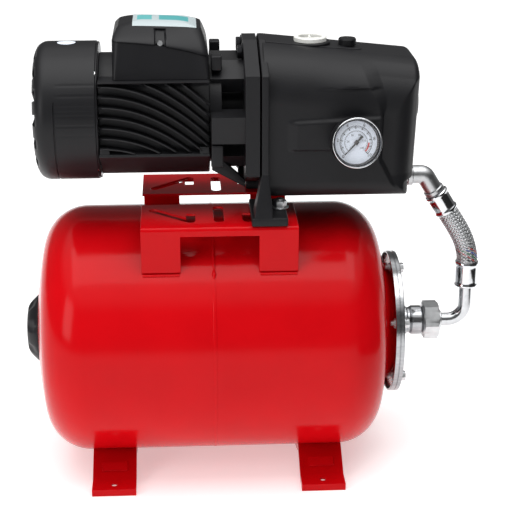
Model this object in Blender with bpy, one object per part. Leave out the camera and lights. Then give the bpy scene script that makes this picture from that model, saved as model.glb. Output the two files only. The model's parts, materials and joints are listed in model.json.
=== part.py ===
"""Jet pump booster set: a self-priming centrifugal pump bolted on a horizontal pressure tank.

Metres, +Z up. +X runs along the motor shaft from the fan to the wet end, -Y is the gauge side and
z = 0 is the floor under the feet. Places are given from the middle of the two pump rails, and the
empty "stand" moves them so that the origin lies under the middle of the whole set.
"""
import math

import bmesh
import bpy
from mathutils import Euler, Vector

# ---- clearances ----
GAP = 0.0003               # between two pieces that touch
RUNNING_GAP = 0.0005       # round a turning piece
BOOLEAN_SPARE = 0.002      # how far a cutter runs past the face it opens

# ---- pressure tank ----
TANK_RADIUS = 0.135
TANK_LENGTH = 0.3825
TANK_MIDDLE_X = -0.00625
TANK_BOTTOM_Z = 0.0145
TANK_WALL = 0.0015
HEAD_CROWN = 0.477         # radius of the flat part of the dished ends
HEAD_KNUCKLE = 0.048       # radius of their rounded shoulder
VALVE_HOLE = 0.006
NECK_ROOT = 0.0685         # neck radius where it leaves the right end
NECK_END = 0.058
LIP_RADIUS = 0.0735
LIP_WALL = 0.002
BLADDER_WALL = 0.002
BLADDER_SLACK = 0.006      # air between the bladder and the shell
BLADDER_MOUTH = 0.050

# ---- counter flange on the neck ----
FLANGE_FACE_X = 0.198
FLANGE_RADIUS = 0.0785
FLANGE_PLATE = 0.002
FLANGE_RIM = 0.010
FLANGE_PCD = 0.137
FLANGE_BOLTS = 6
FLANGE_BOLT_TURN = 10.0    # degrees from the top towards -Y
FLANGE_BOLT_RADIUS = 0.003
FLANGE_BOLT_FLATS = 0.0095
NIPPLE_RADIUS = 0.0158
NIPPLE_BORE = 0.0105
NIPPLE_LENGTH = 0.030

# ---- air valve and its cap ----
CAP_RADIUS = 0.040
CAP_DEPTH = 0.0125
CAP_WALL = 0.002
VALVE_STEM = 0.004

# ---- feet ----
FOOT_X = 0.1128
FOOT_OFFSET_X = -0.0035
FOOT_WIDTH = 0.0474
FOOT_REACH = 0.115
FOOT_PAD = 0.022
FOOT_HEIGHT = 0.008
FOOT_SHEET = 0.002
FOOT_HOLE = 0.003
FOOT_SADDLE = 0.060

# ---- pump rails ----
RAIL_LENGTH = 0.1618
RAIL_TOP_Z = 0.2963
RAIL_OUTER_Y = 0.09575
RAIL_INNER_Y = 0.0193
RAIL_SHEET = 0.0025
RAIL_BEND = 0.004
RAIL_LEG = 0.0404
RAIL_WINDOW_DROP = 0.010
SLOT_WIDTH = 0.0095
OVAL_SLOT = 0.0105
OVAL_SLOT_LONG = 0.051
OVAL_SLOT_Y = 0.053
SQUARE_SLOT_X = 0.0292
SQUARE_SLOT_Y = 0.0632
SQUARE_SLOT_LONG = 0.023
LONG_SLOT_X = 0.0489
LONG_SLOT_Y = 0.0567
LONG_SLOT_LONG = 0.062
LONG_SLOT_TURN = 43.5      # degrees from the rail

# ---- motor ----
SHAFT_Z = 0.3965
MOTOR_LEFT_X = -0.121
MOTOR_RIGHT_X = -0.008
MOTOR_CORE = 0.060         # radius of the round barrel
MOTOR_BORE = 0.0560
MOTOR_HALF_WIDTH = 0.070
MOTOR_SIDE_TOP = 0.044
MOTOR_SIDE_BOTTOM = 0.032
MOTOR_DEPTH = 0.0635
MOTOR_BOTTOM_HALF = 0.022
STATOR_BORE = 0.0352
STATOR_LENGTH = 0.070
STATOR_MIDDLE_X = -0.066
COIL_OVERHANG = 0.012
COIL_OUTER = 0.053
COIL_INNER = 0.038
ROTOR_LENGTH = 0.072
SHAFT_RADIUS = 0.0085
SHAFT_LEFT_X = -0.166
SHAFT_RIGHT_X = 0.088
BEARING_OUTER = 0.020
BEARING_WIDTH = 0.012
REAR_BEARING_X = -0.136
FRONT_BEARING_X = -0.004
SHIELD_WALL = 0.004
FAN_RADIUS = 0.060
FAN_X = -0.160
FAN_WIDTH = 0.016
FAN_BLADES = 7
COVER_RADIUS = 0.0722
COVER_LEFT_X = -0.188
COVER_WALL = 0.002
COVER_BEVEL = 0.012
COVER_SLOTS = 16
COVER_SLOT_WIDTH = 0.005

# ---- terminal box ----
BOX_LEFT_X = -0.1056
BOX_RIGHT_X = -0.0085
BOX_FOOT_HALF = 0.060
BOX_FOOT_Z = 0.4415
BOX_SPLIT_HALF = 0.047
BOX_SPLIT_Z = 0.469
BOX_TOP_HALF = 0.024
BOX_TOP_Z = 0.4945
BOX_WALL = 0.003
BOX_FLOOR_Z = 0.4605
BOX_END_SLOPE = 0.009
CAPACITOR_RADIUS = 0.0115
CAPACITOR_LENGTH = 0.055
GLAND_RADIUS = 0.010
GLAND_LENGTH = 0.020
GLAND_X = -0.088
GLAND_Z = 0.4560
GLAND_BORE = 0.0045
GLAND_BOSS = 0.0115

# ---- motor bracket ----
BRACKET_PLATE_X = 0.0275
BRACKET_PLATE = 0.0143
PLATE_HALF_WIDTH = 0.080
PLATE_HALF_HEIGHT = 0.076
PLATE_TOP_HALF = 0.0165
PLATE_SIDE_HALF = 0.052
BRACKET_RING = 0.012
BRACKET_RING_RADIUS = 0.056
BRACKET_HUB = 0.027
# Each pair of arms: degrees from the top, inner radius, outer radius, width.
BRACKET_ARMS = ((35.0, 0.040, 0.060, 0.026), (94.0, 0.046, 0.074, 0.028), (135.0, 0.040, 0.064, 0.022))

# ---- wet end ----
CASING_X = 0.0438
CASING_PLATE = 0.0073
CASING_RIGHT_X = 0.211
CASING_STEP = 0.006
CASING_STEP_Z = 0.333
CASING_TOP_LEFT_Z = 0.4705
CASING_TOP_RIGHT_Z = 0.4538
CASING_BOTTOM_Z = 0.3165
CASING_HALF = 0.074
CASING_TOP_EDGE = 0.052    # radius of the two long upper edges
CASING_LOW_EDGE = 0.020    # and of the two lower ones
CASING_WALL = 0.006
CASING_FOOT_X = 0.0328
CASING_FOOT_LENGTH = 0.037
CASING_FOOT_REACH = 0.098
CASING_FOOT = 0.0087
CASING_FOOT_GAP_HALF = 0.030
CASING_LEG_ROOT = 0.070    # |y| where the sloping leg starts
EJECTOR_BOSS = 0.018
EJECTOR_BOSS_Y = -0.0605
CASING_MOUTH = 0.0570
GASKET_OUTER = 0.0615
GASKET_INNER = 0.0575
SEAL_OUTER = 0.0155
SEAL_HEAD_OUTER = 0.0145
SEAL_HEAD_LENGTH = 0.0105
SEAL_SEAT_LENGTH = 0.008
IMPELLER_RADIUS = 0.050
IMPELLER_X = 0.0580
IMPELLER_WIDTH = 0.014
IMPELLER_EYE = 0.018
IMPELLER_VANES = 6
DIFFUSER_RADIUS = 0.0555
DIFFUSER_WALL = 0.003
VENTURI_RADIUS = 0.014
VENTURI_THROAT = 0.007
VENTURI_RIGHT_X = 0.168
NOZZLE_RIGHT_X = 0.192
NOZZLE_RADIUS = 0.017
NOZZLE_TIP = 0.0065

# ---- ports ----
OUTLET_X = 0.0985
OUTLET_RADIUS = 0.0145
OUTLET_HEAD = 0.0172
PRIMING_X = 0.1375
PRIMING_RADIUS = 0.0065
PRIMING_HEAD = 0.0093
SUCTION_Z = 0.404
SUCTION_RADIUS = 0.0145
DRAIN_X = 0.185
DRAIN_RADIUS = 0.005
DRAIN_HEAD = 0.0075
OUTLET_BOSS = 0.021

# ---- fasteners ----
CASING_BOLT_Y = 0.020
CASING_BOLT_Z = 0.0645
CASING_BOLT_RADIUS = 0.004
FOOT_BOLT_X = 0.0635
FOOT_BOLT_Y = 0.062
FOOT_BOLT_RADIUS = 0.004
BOLT_FLATS = 0.013
BOLT_HEAD = 0.0055
NUT_HEIGHT = 0.0065
WASHER_RADIUS = 0.008
WASHER_THICKNESS = 0.0016
BOLT_STUB = 0.012
OVERLAP = 0.002

# ---- pressure gauge ----
GAUGE_FACE = (0.1380, -0.1040, 0.3853)
GAUGE_YAW = 7.0            # degrees towards the wet end
GAUGE_LIFT = 10.0          # degrees upwards
GAUGE_RADIUS = 0.0255
GAUGE_DEPTH = 0.021
GAUGE_WALL = 0.0015
GAUGE_STEM = 0.0065
NEEDLE_LENGTH = 0.0165
NEEDLE_TAIL = 0.0085
NEEDLE_WIDTH = 0.0011
NEEDLE_ZERO = 225.0        # degrees, from the right-hand side of the dial, at no pressure

# ---- pressure switch ----
SWITCH_X = 0.118
SWITCH_Z = 0.385
SWITCH_LENGTH = 0.058
SWITCH_DEPTH = 0.042
SWITCH_HEIGHT = 0.070
SWITCH_STEM = 0.008
SWITCH_STANDOFF = 0.012

# ---- hose between the casing and the tank ----
UNION_LEFT_X = 0.2283
UNION_LENGTH = 0.0222
UNION_FLATS = 0.0378
UNION_BORE = 0.0135
PIPE_RADIUS = 0.00725
PIPE_BEND = 0.019
HOSE_FOOT_X = 0.276
FERRULE_LOW_Z = 0.190
FERRULE_LENGTH = 0.029
FERRULE_RADIUS = 0.0125
FERRULE_BEAD = 0.0008
HOSE_RADIUS = 0.0114
HOSE_TOP = (0.2509, 0.2780)
HOSE_TOP_TURN = 57.4       # degrees between the upper ferrule and the floor
UPPER_FERRULE_LENGTH = 0.0253
ELBOW_RADIUS = 0.0100
ELBOW_BEND = 0.014
ELBOW_Z = 0.3199
ELBOW_CORNER_X = 0.2244

TANK_AXIS_Z = TANK_BOTTOM_Z + TANK_RADIUS
STAND_X = -(TANK_MIDDLE_X - TANK_LENGTH / 2 - CAP_DEPTH + HOSE_FOOT_X + FERRULE_RADIUS + FERRULE_BEAD) / 2

# A turn that lays a shape's own Z axis along the named axis of the set.
ALONG_X = Euler((math.pi / 2, 0, math.pi / 2))
ALONG_MINUS_Y = Euler((math.pi / 2, 0, 0))
ALONG_Z = Euler((0, 0, 0))
DOWNWARDS = Euler((math.pi, 0, 0))


# ---------------------------------------------------------------- materials
def paint(name, red, green, blue, metallic, roughness):
    """A Principled material with one colour."""
    surface = bpy.data.materials.new(name)
    surface.use_nodes = True
    shader = surface.node_tree.nodes["Principled BSDF"]
    shader.inputs["Base Color"].default_value = (red, green, blue, 1)
    shader.inputs["Metallic"].default_value = metallic
    shader.inputs["Roughness"].default_value = roughness
    return surface


# ---------------------------------------------------------------- shapes
def turned(outline, steps):
    """A mesh turned about Z from a closed outline of (radius, height) points."""
    shape = bmesh.new()
    points = [shape.verts.new((radius, 0, height)) for radius, height in outline]
    edges = []
    for start, end in zip(points, points[1:] + points[:1]):
        if start.co.x > 0 or end.co.x > 0:
            edges.append(shape.edges.new((start, end)))
    bmesh.ops.spin(shape, geom=points + edges, cent=(0, 0, 0), axis=(0, 0, 1),
                   angle=2 * math.pi, steps=steps, use_merge=True)
    bmesh.ops.remove_doubles(shape, verts=shape.verts, dist=1e-6)
    return shape


def prism(outline, depth, low=0.0):
    """A mesh extruded along Z from a closed outline of (x, y) points."""
    shape = bmesh.new()
    face = shape.faces.new([shape.verts.new((x, y, low)) for x, y in outline])
    grown = bmesh.ops.extrude_face_region(shape, geom=[face])["geom"]
    raised = [item for item in grown if isinstance(item, bmesh.types.BMVert)]
    bmesh.ops.translate(shape, verts=raised, vec=(0, 0, depth))
    return shape


def tapered(low_outline, high_outline, low, high):
    """A mesh between two outlines with the same number of points, at two heights."""
    shape = bmesh.new()
    bottom = [shape.verts.new((x, y, low)) for x, y in low_outline]
    top = [shape.verts.new((x, y, high)) for x, y in high_outline]
    shape.faces.new(bottom)
    shape.faces.new(top)
    count = len(bottom)
    for i in range(count):
        shape.faces.new((bottom[i], bottom[(i + 1) % count], top[(i + 1) % count], top[i]))
    return shape


def arc(radius, start, end, steps, centre=(0.0, 0.0)):
    """Points on an arc, with the angles in degrees."""
    points = []
    for i in range(steps + 1):
        angle = math.radians(start + (end - start) * i / steps)
        points.append((centre[0] + radius * math.cos(angle), centre[1] + radius * math.sin(angle)))
    return points


def circle(radius, steps):
    return arc(radius, 0, 360, steps)[:-1]


def rectangle(left, right, low, high):
    return [(left, low), (right, low), (right, high), (left, high)]


def slot(width, length, turn, centre):
    """A round-ended slot, turned by some degrees."""
    reach = (length - width) / 2
    ends = arc(width / 2, -90, 90, 6, (reach, 0)) + arc(width / 2, 90, 270, 6, (-reach, 0))
    angle = math.radians(turn)
    return [(centre[0] + x * math.cos(angle) - y * math.sin(angle),
             centre[1] + x * math.sin(angle) + y * math.cos(angle)) for x, y in ends]


def pump_plate():
    """The eight-sided outline that the bracket's and the casing's plates share."""
    wide = PLATE_HALF_WIDTH
    high = PLATE_HALF_HEIGHT
    side = PLATE_SIDE_HALF
    top = PLATE_TOP_HALF
    return [(wide, -side), (wide, side), (top, high), (-top, high),
            (-wide, side), (-wide, -side), (-top, -high), (top, -high)]


def side_rectangle(side, left, right, near, far):
    """A rectangle from left to right in X, on one side of the set from |y| = near to far."""
    return rectangle(left, right, min(side * near, side * far), max(side * near, side * far))


def hexagon(flats):
    return circle(flats / math.sqrt(3), 6)


def hollow_radius(radius, steps):
    """The radius of a faceted hole whose flats clear a round piece of this radius."""
    return radius / math.cos(math.pi / steps)


# ---------------------------------------------------------------- objects
def piece(name, shape, surface, place=(0, 0, 0), turn=ALONG_Z, parent=None):
    """One named sub-part of the set."""
    bmesh.ops.recalc_face_normals(shape, faces=shape.faces)
    mesh = bpy.data.meshes.new(name)
    shape.to_mesh(mesh)
    shape.free()
    mesh.shade_smooth()
    mesh.set_sharp_from_angle(angle=math.radians(35))
    item = bpy.data.objects.new(name, mesh)
    bpy.context.collection.objects.link(item)
    item.parent = parent or STAND
    item.location = place
    item.rotation_euler = turn
    if surface:
        mesh.materials.append(surface)
    return item


def helper(name, shape, place=(0, 0, 0), turn=ALONG_Z, parent=None):
    """A guide that shapes another piece and is no sub-part itself."""
    item = piece(name, shape, None, place, turn, parent)
    item.hide_render = True
    item.display_type = "WIRE"
    return item


def combine(target, operation, others):
    for other in others:
        change = target.modifiers.new(other.name, "BOOLEAN")
        change.operation = operation
        change.object = other
    return target


def cut(target, *others):
    return combine(target, "DIFFERENCE", others)


def join(target, *others):
    return combine(target, "UNION", others)


# ---------------------------------------------------------------- tank
def dished(shell, crown, knuckle, nearest, steps):
    """(radius, depth) points of a dished end, from its rim inwards to the radius nearest."""
    ring = shell - knuckle
    tangent = math.degrees(math.asin(ring / (crown - knuckle)))
    crown_centre = -math.sqrt((crown - knuckle) ** 2 - ring ** 2)
    points = arc(knuckle, 0, 90 - tangent, steps, (ring, 0))
    last = math.degrees(math.asin(nearest / crown))
    for i in range(1, 4):
        angle = math.radians(tangent + (last - tangent) * i / 3)
        points.append((crown * math.sin(angle), crown_centre + crown * math.cos(angle)))
    return points


def head_depth():
    ring = TANK_RADIUS - HEAD_KNUCKLE
    return HEAD_CROWN - math.sqrt((HEAD_CROWN - HEAD_KNUCKLE) ** 2 - ring ** 2)


def crown_drop(radius):
    """How far the outside of a dished end falls back from its pole at this radius."""
    return HEAD_CROWN - math.sqrt(HEAD_CROWN ** 2 - radius ** 2)


def tank_shell(nearest, wall):
    """Outside and inside points of half a tank, as (radius, distance from the seam)."""
    straight = TANK_LENGTH / 2 - head_depth()
    outside = dished(TANK_RADIUS, HEAD_CROWN, HEAD_KNUCKLE, nearest, 6)
    inside = dished(TANK_RADIUS - wall, HEAD_CROWN - wall, HEAD_KNUCKLE - wall, nearest, 6)
    return ([(radius, straight + depth) for radius, depth in outside],
            [(radius, straight + depth) for radius, depth in inside])


def make_tank():
    axis = (TANK_MIDDLE_X, 0, TANK_AXIS_Z)
    outside, inside = tank_shell(VALVE_HOLE, TANK_WALL)
    left = [(TANK_RADIUS, GAP / 2)] + outside + inside[::-1] + [(TANK_RADIUS - TANK_WALL, GAP / 2)]
    piece("tank_shell_left", turned([(r, -x) for r, x in left], 40), RED, axis, ALONG_X)

    lip_x = FLANGE_FACE_X - FLANGE_PLATE - BLADDER_WALL - 2 * GAP - TANK_MIDDLE_X
    outside, inside = tank_shell(NECK_ROOT, TANK_WALL)
    neck = [(NECK_END, lip_x - LIP_WALL), (LIP_RADIUS, lip_x - LIP_WALL), (LIP_RADIUS, lip_x),
            (NECK_END - LIP_WALL, lip_x)]
    right = [(TANK_RADIUS, GAP / 2)] + outside + neck + inside[::-1]
    right.append((TANK_RADIUS - TANK_WALL, GAP / 2))
    shell = piece("tank_shell_right", turned(right, 40), RED, axis, ALONG_X)

    bag = TANK_RADIUS - TANK_WALL - BLADDER_SLACK
    wall = BLADDER_WALL
    back = -(TANK_LENGTH / 2 - head_depth())
    front = TANK_LENGTH / 2 - head_depth()
    mouth_x = lip_x + GAP
    neck_inside = BLADDER_MOUTH
    outer = [(0, back - 0.035), (bag * 0.55, back - 0.026), (bag * 0.9, back), (bag, back + 0.05),
             (bag, front - 0.03), (bag * 0.88, front + 0.018), (neck_inside + wall, front + 0.038),
             (neck_inside + wall, mouth_x), (NECK_END, mouth_x), (NECK_END, mouth_x + wall)]
    inner = [(neck_inside, mouth_x + wall), (neck_inside, front + 0.036), (bag * 0.87, front + 0.015),
             (bag - wall, front - 0.032), (bag - wall, back + 0.052), (bag * 0.88, back + 0.002),
             (bag * 0.54, back - 0.023), (0, back - 0.032)]
    piece("tank_bladder", turned(outer + inner, 24), RUBBER, axis, ALONG_X)
    return shell


def flange_bolt_places():
    for i in range(FLANGE_BOLTS):
        angle = math.radians(FLANGE_BOLT_TURN + 360 * i / FLANGE_BOLTS)
        yield i, -FLANGE_PCD / 2 * math.sin(angle), TANK_AXIS_Z + FLANGE_PCD / 2 * math.cos(angle)


def make_tank_flange(shell):
    outer = FLANGE_RADIUS
    plate = FLANGE_PLATE
    nipple = NIPPLE_RADIUS
    outline = [(outer - plate, -FLANGE_RIM), (outer, -FLANGE_RIM), (outer, 0), (nipple, 0),
               (nipple, 0.012), (nipple * 0.92, 0.014), (nipple * 0.92, 0.016), (nipple * 1.03, 0.018),
               (nipple * 1.03, NIPPLE_LENGTH - 0.002), (nipple * 0.9, NIPPLE_LENGTH),
               (NIPPLE_BORE, NIPPLE_LENGTH), (NIPPLE_BORE, -plate), (outer - plate, -plate)]
    flange = piece("tank_flange", turned(outline, 32), STEEL, (FLANGE_FACE_X, 0, TANK_AXIS_Z), ALONG_X)
    hole = hollow_radius(FLANGE_BOLT_RADIUS + GAP, 8)
    through = 0.030
    for i, y, z in flange_bolt_places():
        drill = helper(f"flange_drill_{i + 1}", turned([(0, -through / 2), (hole, -through / 2),
                       (hole, through / 2), (0, through / 2)], 8), (FLANGE_FACE_X, y, z), ALONG_X)
        cut(flange, drill)
        cut(shell, drill)
        make_flange_bolt(i, y, z)


def make_flange_bolt(index, y, z):
    """A hexagon bolt with its head outside and its nut behind the tank's lip."""
    head = 0.005
    back = FLANGE_PLATE + BLADDER_WALL + LIP_WALL + 3 * GAP
    nut = 0.004
    stub = 0.004
    bolt = piece(f"flange_bolt_{index + 1}", prism(hexagon(FLANGE_BOLT_FLATS), head, GAP), STEEL,
                 (FLANGE_FACE_X, y, z), ALONG_X)
    shank = helper(f"flange_shank_{index + 1}",
                   prism(circle(FLANGE_BOLT_RADIUS, 8), back + nut + stub + head / 2, -back - nut - stub),
                   (FLANGE_FACE_X, y, z), ALONG_X)
    grip = helper(f"flange_nut_{index + 1}", prism(hexagon(FLANGE_BOLT_FLATS), nut, -back - nut),
                  (FLANGE_FACE_X, y, z), ALONG_X)
    join(bolt, shank, grip)


def make_air_valve():
    pole = TANK_MIDDLE_X - TANK_LENGTH / 2
    stem = VALVE_STEM
    base = 0.009
    seat = 0.0015
    outline = [(0, 0.012), (stem, 0.012), (stem, -GAP), (base, -GAP), (base, -seat - GAP),
               (stem, -seat - GAP), (stem, -0.0085), (stem * 0.7, -0.0095), (0, -0.0095)]
    piece("air_valve", turned(outline, 16), BRASS, (pole, 0, TANK_AXIS_Z), ALONG_X)
    rim = crown_drop(CAP_RADIUS - CAP_WALL) - GAP
    cap = [(0, -CAP_DEPTH), (CAP_RADIUS * 0.86, -CAP_DEPTH), (CAP_RADIUS * 0.96, -CAP_DEPTH + 0.002),
           (CAP_RADIUS, -CAP_DEPTH + 0.005), (CAP_RADIUS, rim), (CAP_RADIUS - CAP_WALL, rim),
           (CAP_RADIUS - CAP_WALL, -CAP_DEPTH + 0.005), (CAP_RADIUS * 0.84, -CAP_DEPTH + CAP_WALL),
           (0, -CAP_DEPTH + CAP_WALL)]
    piece("valve_cover", turned(cap, 24), BLACK, (pole, 0, TANK_AXIS_Z), ALONG_X)


# ---------------------------------------------------------------- feet and rails
def foot_line(drop):
    """(y, z) points along the top of a foot, lowered by drop, from its near end to its far end."""
    saddle = TANK_RADIUS + GAP
    edge = math.degrees(math.asin(FOOT_SADDLE / saddle))
    cradle = arc(saddle, -90 - edge, -90 + edge, 10, (0, TANK_AXIS_Z))
    pad = FOOT_REACH - FOOT_PAD
    line = [(-FOOT_REACH, FOOT_HEIGHT), (-pad, FOOT_HEIGHT)] + cradle
    line += [(pad, FOOT_HEIGHT), (FOOT_REACH, FOOT_HEIGHT)]
    return [(y, z - drop) for y, z in line]


def make_foot(name, x):
    """A pressed strip with turned-down edges: flat pads at its ends and a saddle under the tank."""
    half = FOOT_WIDTH / 2
    body = prism(foot_line(0) + foot_line(FOOT_HEIGHT)[::-1], FOOT_WIDTH, -half)
    foot = piece(name, body, RED, (x, 0, 0), ALONG_X)
    inner = half - FOOT_SHEET
    trough = foot_line(FOOT_SHEET)
    ends = FOOT_REACH - FOOT_SHEET
    trough[0] = (-ends, trough[0][1])
    trough[-1] = (ends, trough[-1][1])
    below = [(y, z - FOOT_HEIGHT) for y, z in trough]
    cut(foot, helper(f"{name}_trough", prism(trough + below[::-1], 2 * inner, -inner), (x, 0, 0), ALONG_X))
    hole_y = FOOT_REACH - FOOT_PAD / 2
    for side in (-1, 1):
        drill = prism(circle(FOOT_HOLE, 32), 2 * FOOT_HEIGHT)
        cut(foot, helper(f"{name}_drill_{side}", drill, (x, side * hole_y, 0)))


def make_rail(name, side):
    """An L of sheet: the pump stands on its flat, and its two legs are welded to the tank."""
    inside = RAIL_OUTER_Y - RAIL_SHEET
    leg_z = TANK_AXIS_Z + math.sqrt((TANK_RADIUS + GAP) ** 2 - inside ** 2)
    centre = (RAIL_OUTER_Y - RAIL_BEND, RAIL_TOP_Z - RAIL_BEND)
    outline = [(RAIL_INNER_Y, RAIL_TOP_Z)] + arc(RAIL_BEND, 90, 0, 4, centre)
    outline += [(RAIL_OUTER_Y, leg_z), (inside, leg_z)]
    outline += arc(RAIL_BEND - RAIL_SHEET, 0, 90, 4, centre)
    outline.append((RAIL_INNER_Y, RAIL_TOP_Z - RAIL_SHEET))
    profile = [(side * y, z) for y, z in outline]
    rail = piece(name, prism(profile, RAIL_LENGTH, -RAIL_LENGTH / 2), RED, turn=ALONG_X)
    window = RAIL_LENGTH / 2 - RAIL_LEG
    top = RAIL_TOP_Z - RAIL_WINDOW_DROP
    opening = prism(rectangle(-window, window, leg_z - BOOLEAN_SPARE, top), 2 * RAIL_SHEET + BOOLEAN_SPARE)
    cut(rail, helper(f"{name}_window", opening, (0, side * inside + RAIL_SHEET + BOOLEAN_SPARE, 0),
                     ALONG_MINUS_Y))
    low = RAIL_TOP_Z - RAIL_SHEET - BOOLEAN_SPARE
    depth = RAIL_SHEET + 2 * BOOLEAN_SPARE
    outlines = [slot(OVAL_SLOT, OVAL_SLOT_LONG, 90, (0, side * OVAL_SLOT_Y))]
    for end in (-1, 1):
        x = end * SQUARE_SLOT_X
        y = side * SQUARE_SLOT_Y
        half = SQUARE_SLOT_LONG / 2
        outlines.append(rectangle(x - SLOT_WIDTH / 2, x + SLOT_WIDTH / 2, y - half, y + half))
        outlines.append(slot(SLOT_WIDTH, LONG_SLOT_LONG, -end * side * LONG_SLOT_TURN,
                             (end * LONG_SLOT_X, side * LONG_SLOT_Y)))
    for i, outline in enumerate(outlines):
        cut(rail, helper(f"{name}_slot_{i + 1}", prism(outline, depth, low)))
    drill_foot_bolt(rail, name, side)
    return rail


def drill_foot_bolt(target, name, side):
    drill = prism(circle(hollow_radius(FOOT_BOLT_RADIUS + GAP, 10), 10), 0.040, RAIL_TOP_Z - 0.020)
    cut(target, helper(f"{name}_bolt_drill_{side}", drill, (FOOT_BOLT_X, side * FOOT_BOLT_Y, 0)))


def make_foot_bolt(name, side):
    """A bolt up through the rail, with its nut and washer on the pump's foot."""
    low = RAIL_TOP_Z - RAIL_SHEET - GAP
    top = RAIL_TOP_Z + CASING_FOOT + 2 * GAP
    place = (FOOT_BOLT_X, side * FOOT_BOLT_Y, 0)
    bolt = piece(name, prism(hexagon(BOLT_FLATS), BOLT_HEAD, low - BOLT_HEAD), ZINC, place)
    shank = prism(circle(FOOT_BOLT_RADIUS, 10), top - low + BOLT_STUB, low - OVERLAP)
    washer = prism(circle(WASHER_RADIUS, 16), WASHER_THICKNESS, top)
    nut = prism(hexagon(BOLT_FLATS), NUT_HEIGHT, top + WASHER_THICKNESS * 0.75)
    join(bolt, helper(f"{name}_shank", shank, place), helper(f"{name}_washer", washer, place),
         helper(f"{name}_nut", nut, place))


# ---------------------------------------------------------------- motor
def bore(radius, left, right, steps=32):
    return prism(circle(radius, steps), right - left, left)


def make_motor_housing():
    length = MOTOR_RIGHT_X - MOTOR_LEFT_X
    housing = piece("motor_housing", prism([(MOTOR_HALF_WIDTH, -MOTOR_SIDE_BOTTOM),
                    (MOTOR_HALF_WIDTH, MOTOR_SIDE_TOP), (-MOTOR_HALF_WIDTH, MOTOR_SIDE_TOP),
                    (-MOTOR_HALF_WIDTH, -MOTOR_SIDE_BOTTOM), (-MOTOR_BOTTOM_HALF, -MOTOR_DEPTH),
                    (MOTOR_BOTTOM_HALF, -MOTOR_DEPTH)], length, MOTOR_LEFT_X), BLACK, MOTOR_AXIS, ALONG_X)
    barrel = helper("motor_barrel", bore(MOTOR_CORE, MOTOR_LEFT_X, MOTOR_RIGHT_X, 40), MOTOR_AXIS, ALONG_X)
    hole = helper("motor_bore", bore(hollow_radius(MOTOR_BORE, 40), MOTOR_LEFT_X - BOOLEAN_SPARE,
                                     MOTOR_RIGHT_X + BOOLEAN_SPARE, 40), MOTOR_AXIS, ALONG_X)
    cut(join(housing, barrel), hole)


def make_stator():
    half = STATOR_LENGTH / 2
    coil = half + COIL_OVERHANG
    outer = MOTOR_BORE - GAP
    middle = STATOR_MIDDLE_X
    outline = [(STATOR_BORE, middle - half), (COIL_INNER, middle - coil), (COIL_OUTER, middle - coil),
               (outer, middle - half), (outer, middle + half), (COIL_OUTER, middle + coil),
               (COIL_INNER, middle + coil), (STATOR_BORE, middle + half)]
    piece("stator", turned(outline, 24), COPPER, MOTOR_AXIS, ALONG_X)


def make_rotor():
    """The shaft with everything that turns on it, all about the motor's axis."""
    radius = SHAFT_RADIUS
    end = IMPELLER_X - 0.004
    shaft = [(0, SHAFT_LEFT_X), (radius - 0.002, SHAFT_LEFT_X), (radius - 0.002, REAR_BEARING_X - 0.006),
             (radius, REAR_BEARING_X - 0.006), (radius, end), (radius - 0.002, end),
             (radius - 0.002, SHAFT_RIGHT_X), (0, SHAFT_RIGHT_X)]
    piece("shaft", turned(shaft, 20), STEEL, MOTOR_AXIS, ALONG_X, SPINDLE)
    hub = hollow_radius(radius + GAP, 20)
    small = hollow_radius(radius - 0.002 + GAP, 20)
    half = ROTOR_LENGTH / 2
    core = STATOR_BORE - RUNNING_GAP - GAP
    rotor = [(hub, STATOR_MIDDLE_X - half), (core, STATOR_MIDDLE_X - half),
             (core, STATOR_MIDDLE_X + half), (hub, STATOR_MIDDLE_X + half)]
    piece("rotor_core", turned(rotor, 24), STEEL, MOTOR_AXIS, ALONG_X, SPINDLE)

    back = FAN_X + FAN_WIDTH
    disc = [(small, FAN_X), (0.014, FAN_X), (0.014, back - 0.003), (FAN_RADIUS * 0.9, back - 0.003),
            (FAN_RADIUS * 0.9, back), (small, back)]
    fan = piece("cooling_fan", turned(disc, 24), BLACK, MOTOR_AXIS, ALONG_X, SPINDLE)
    for i in range(FAN_BLADES):
        blade = prism(rectangle(0.012, FAN_RADIUS, -0.001, 0.001), FAN_WIDTH - 0.001, FAN_X + 0.0002)
        bmesh.ops.rotate(blade, verts=blade.verts, matrix=spoke(i, FAN_BLADES))
        join(fan, helper(f"fan_blade_{i + 1}", blade, MOTOR_AXIS, ALONG_X, SPINDLE))

    head = [(hub, BRACKET_FACE_X + GAP), (SEAL_HEAD_OUTER, BRACKET_FACE_X + GAP),
            (SEAL_HEAD_OUTER, BRACKET_FACE_X + SEAL_HEAD_LENGTH),
            (hub, BRACKET_FACE_X + SEAL_HEAD_LENGTH)]
    piece("seal_head", turned(head, 20), RUBBER, MOTOR_AXIS, ALONG_X, SPINDLE)

    wall = 0.0025
    front = IMPELLER_X + IMPELLER_WIDTH
    disc = [(small, IMPELLER_X), (IMPELLER_RADIUS, IMPELLER_X), (IMPELLER_RADIUS, IMPELLER_X + wall),
            (0.013, IMPELLER_X + wall), (0.011, front + 0.004), (small, front + 0.004)]
    wheel = piece("impeller", turned(disc, 24), BRASS, MOTOR_AXIS, ALONG_X, SPINDLE)
    for i in range(IMPELLER_VANES):
        vane = curved_vane(0.0115, IMPELLER_RADIUS - 0.0005, 0.0018, IMPELLER_X + wall / 2, front - wall)
        bmesh.ops.rotate(vane, verts=vane.verts, matrix=spoke(i, IMPELLER_VANES))
        join(wheel, helper(f"impeller_vane_{i + 1}", vane, MOTOR_AXIS, ALONG_X, SPINDLE))

    nut = piece("impeller_nut", prism(hexagon(0.0165), 0.006, front + 0.004 + GAP), BRASS, MOTOR_AXIS,
                ALONG_X, SPINDLE)
    thread = helper("impeller_nut_thread", bore(small, front, front + 0.02, 20), MOTOR_AXIS, ALONG_X, SPINDLE)
    cut(nut, thread)


def spoke(index, count):
    return Euler((0, 0, 2 * math.pi * index / count)).to_matrix()


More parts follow.
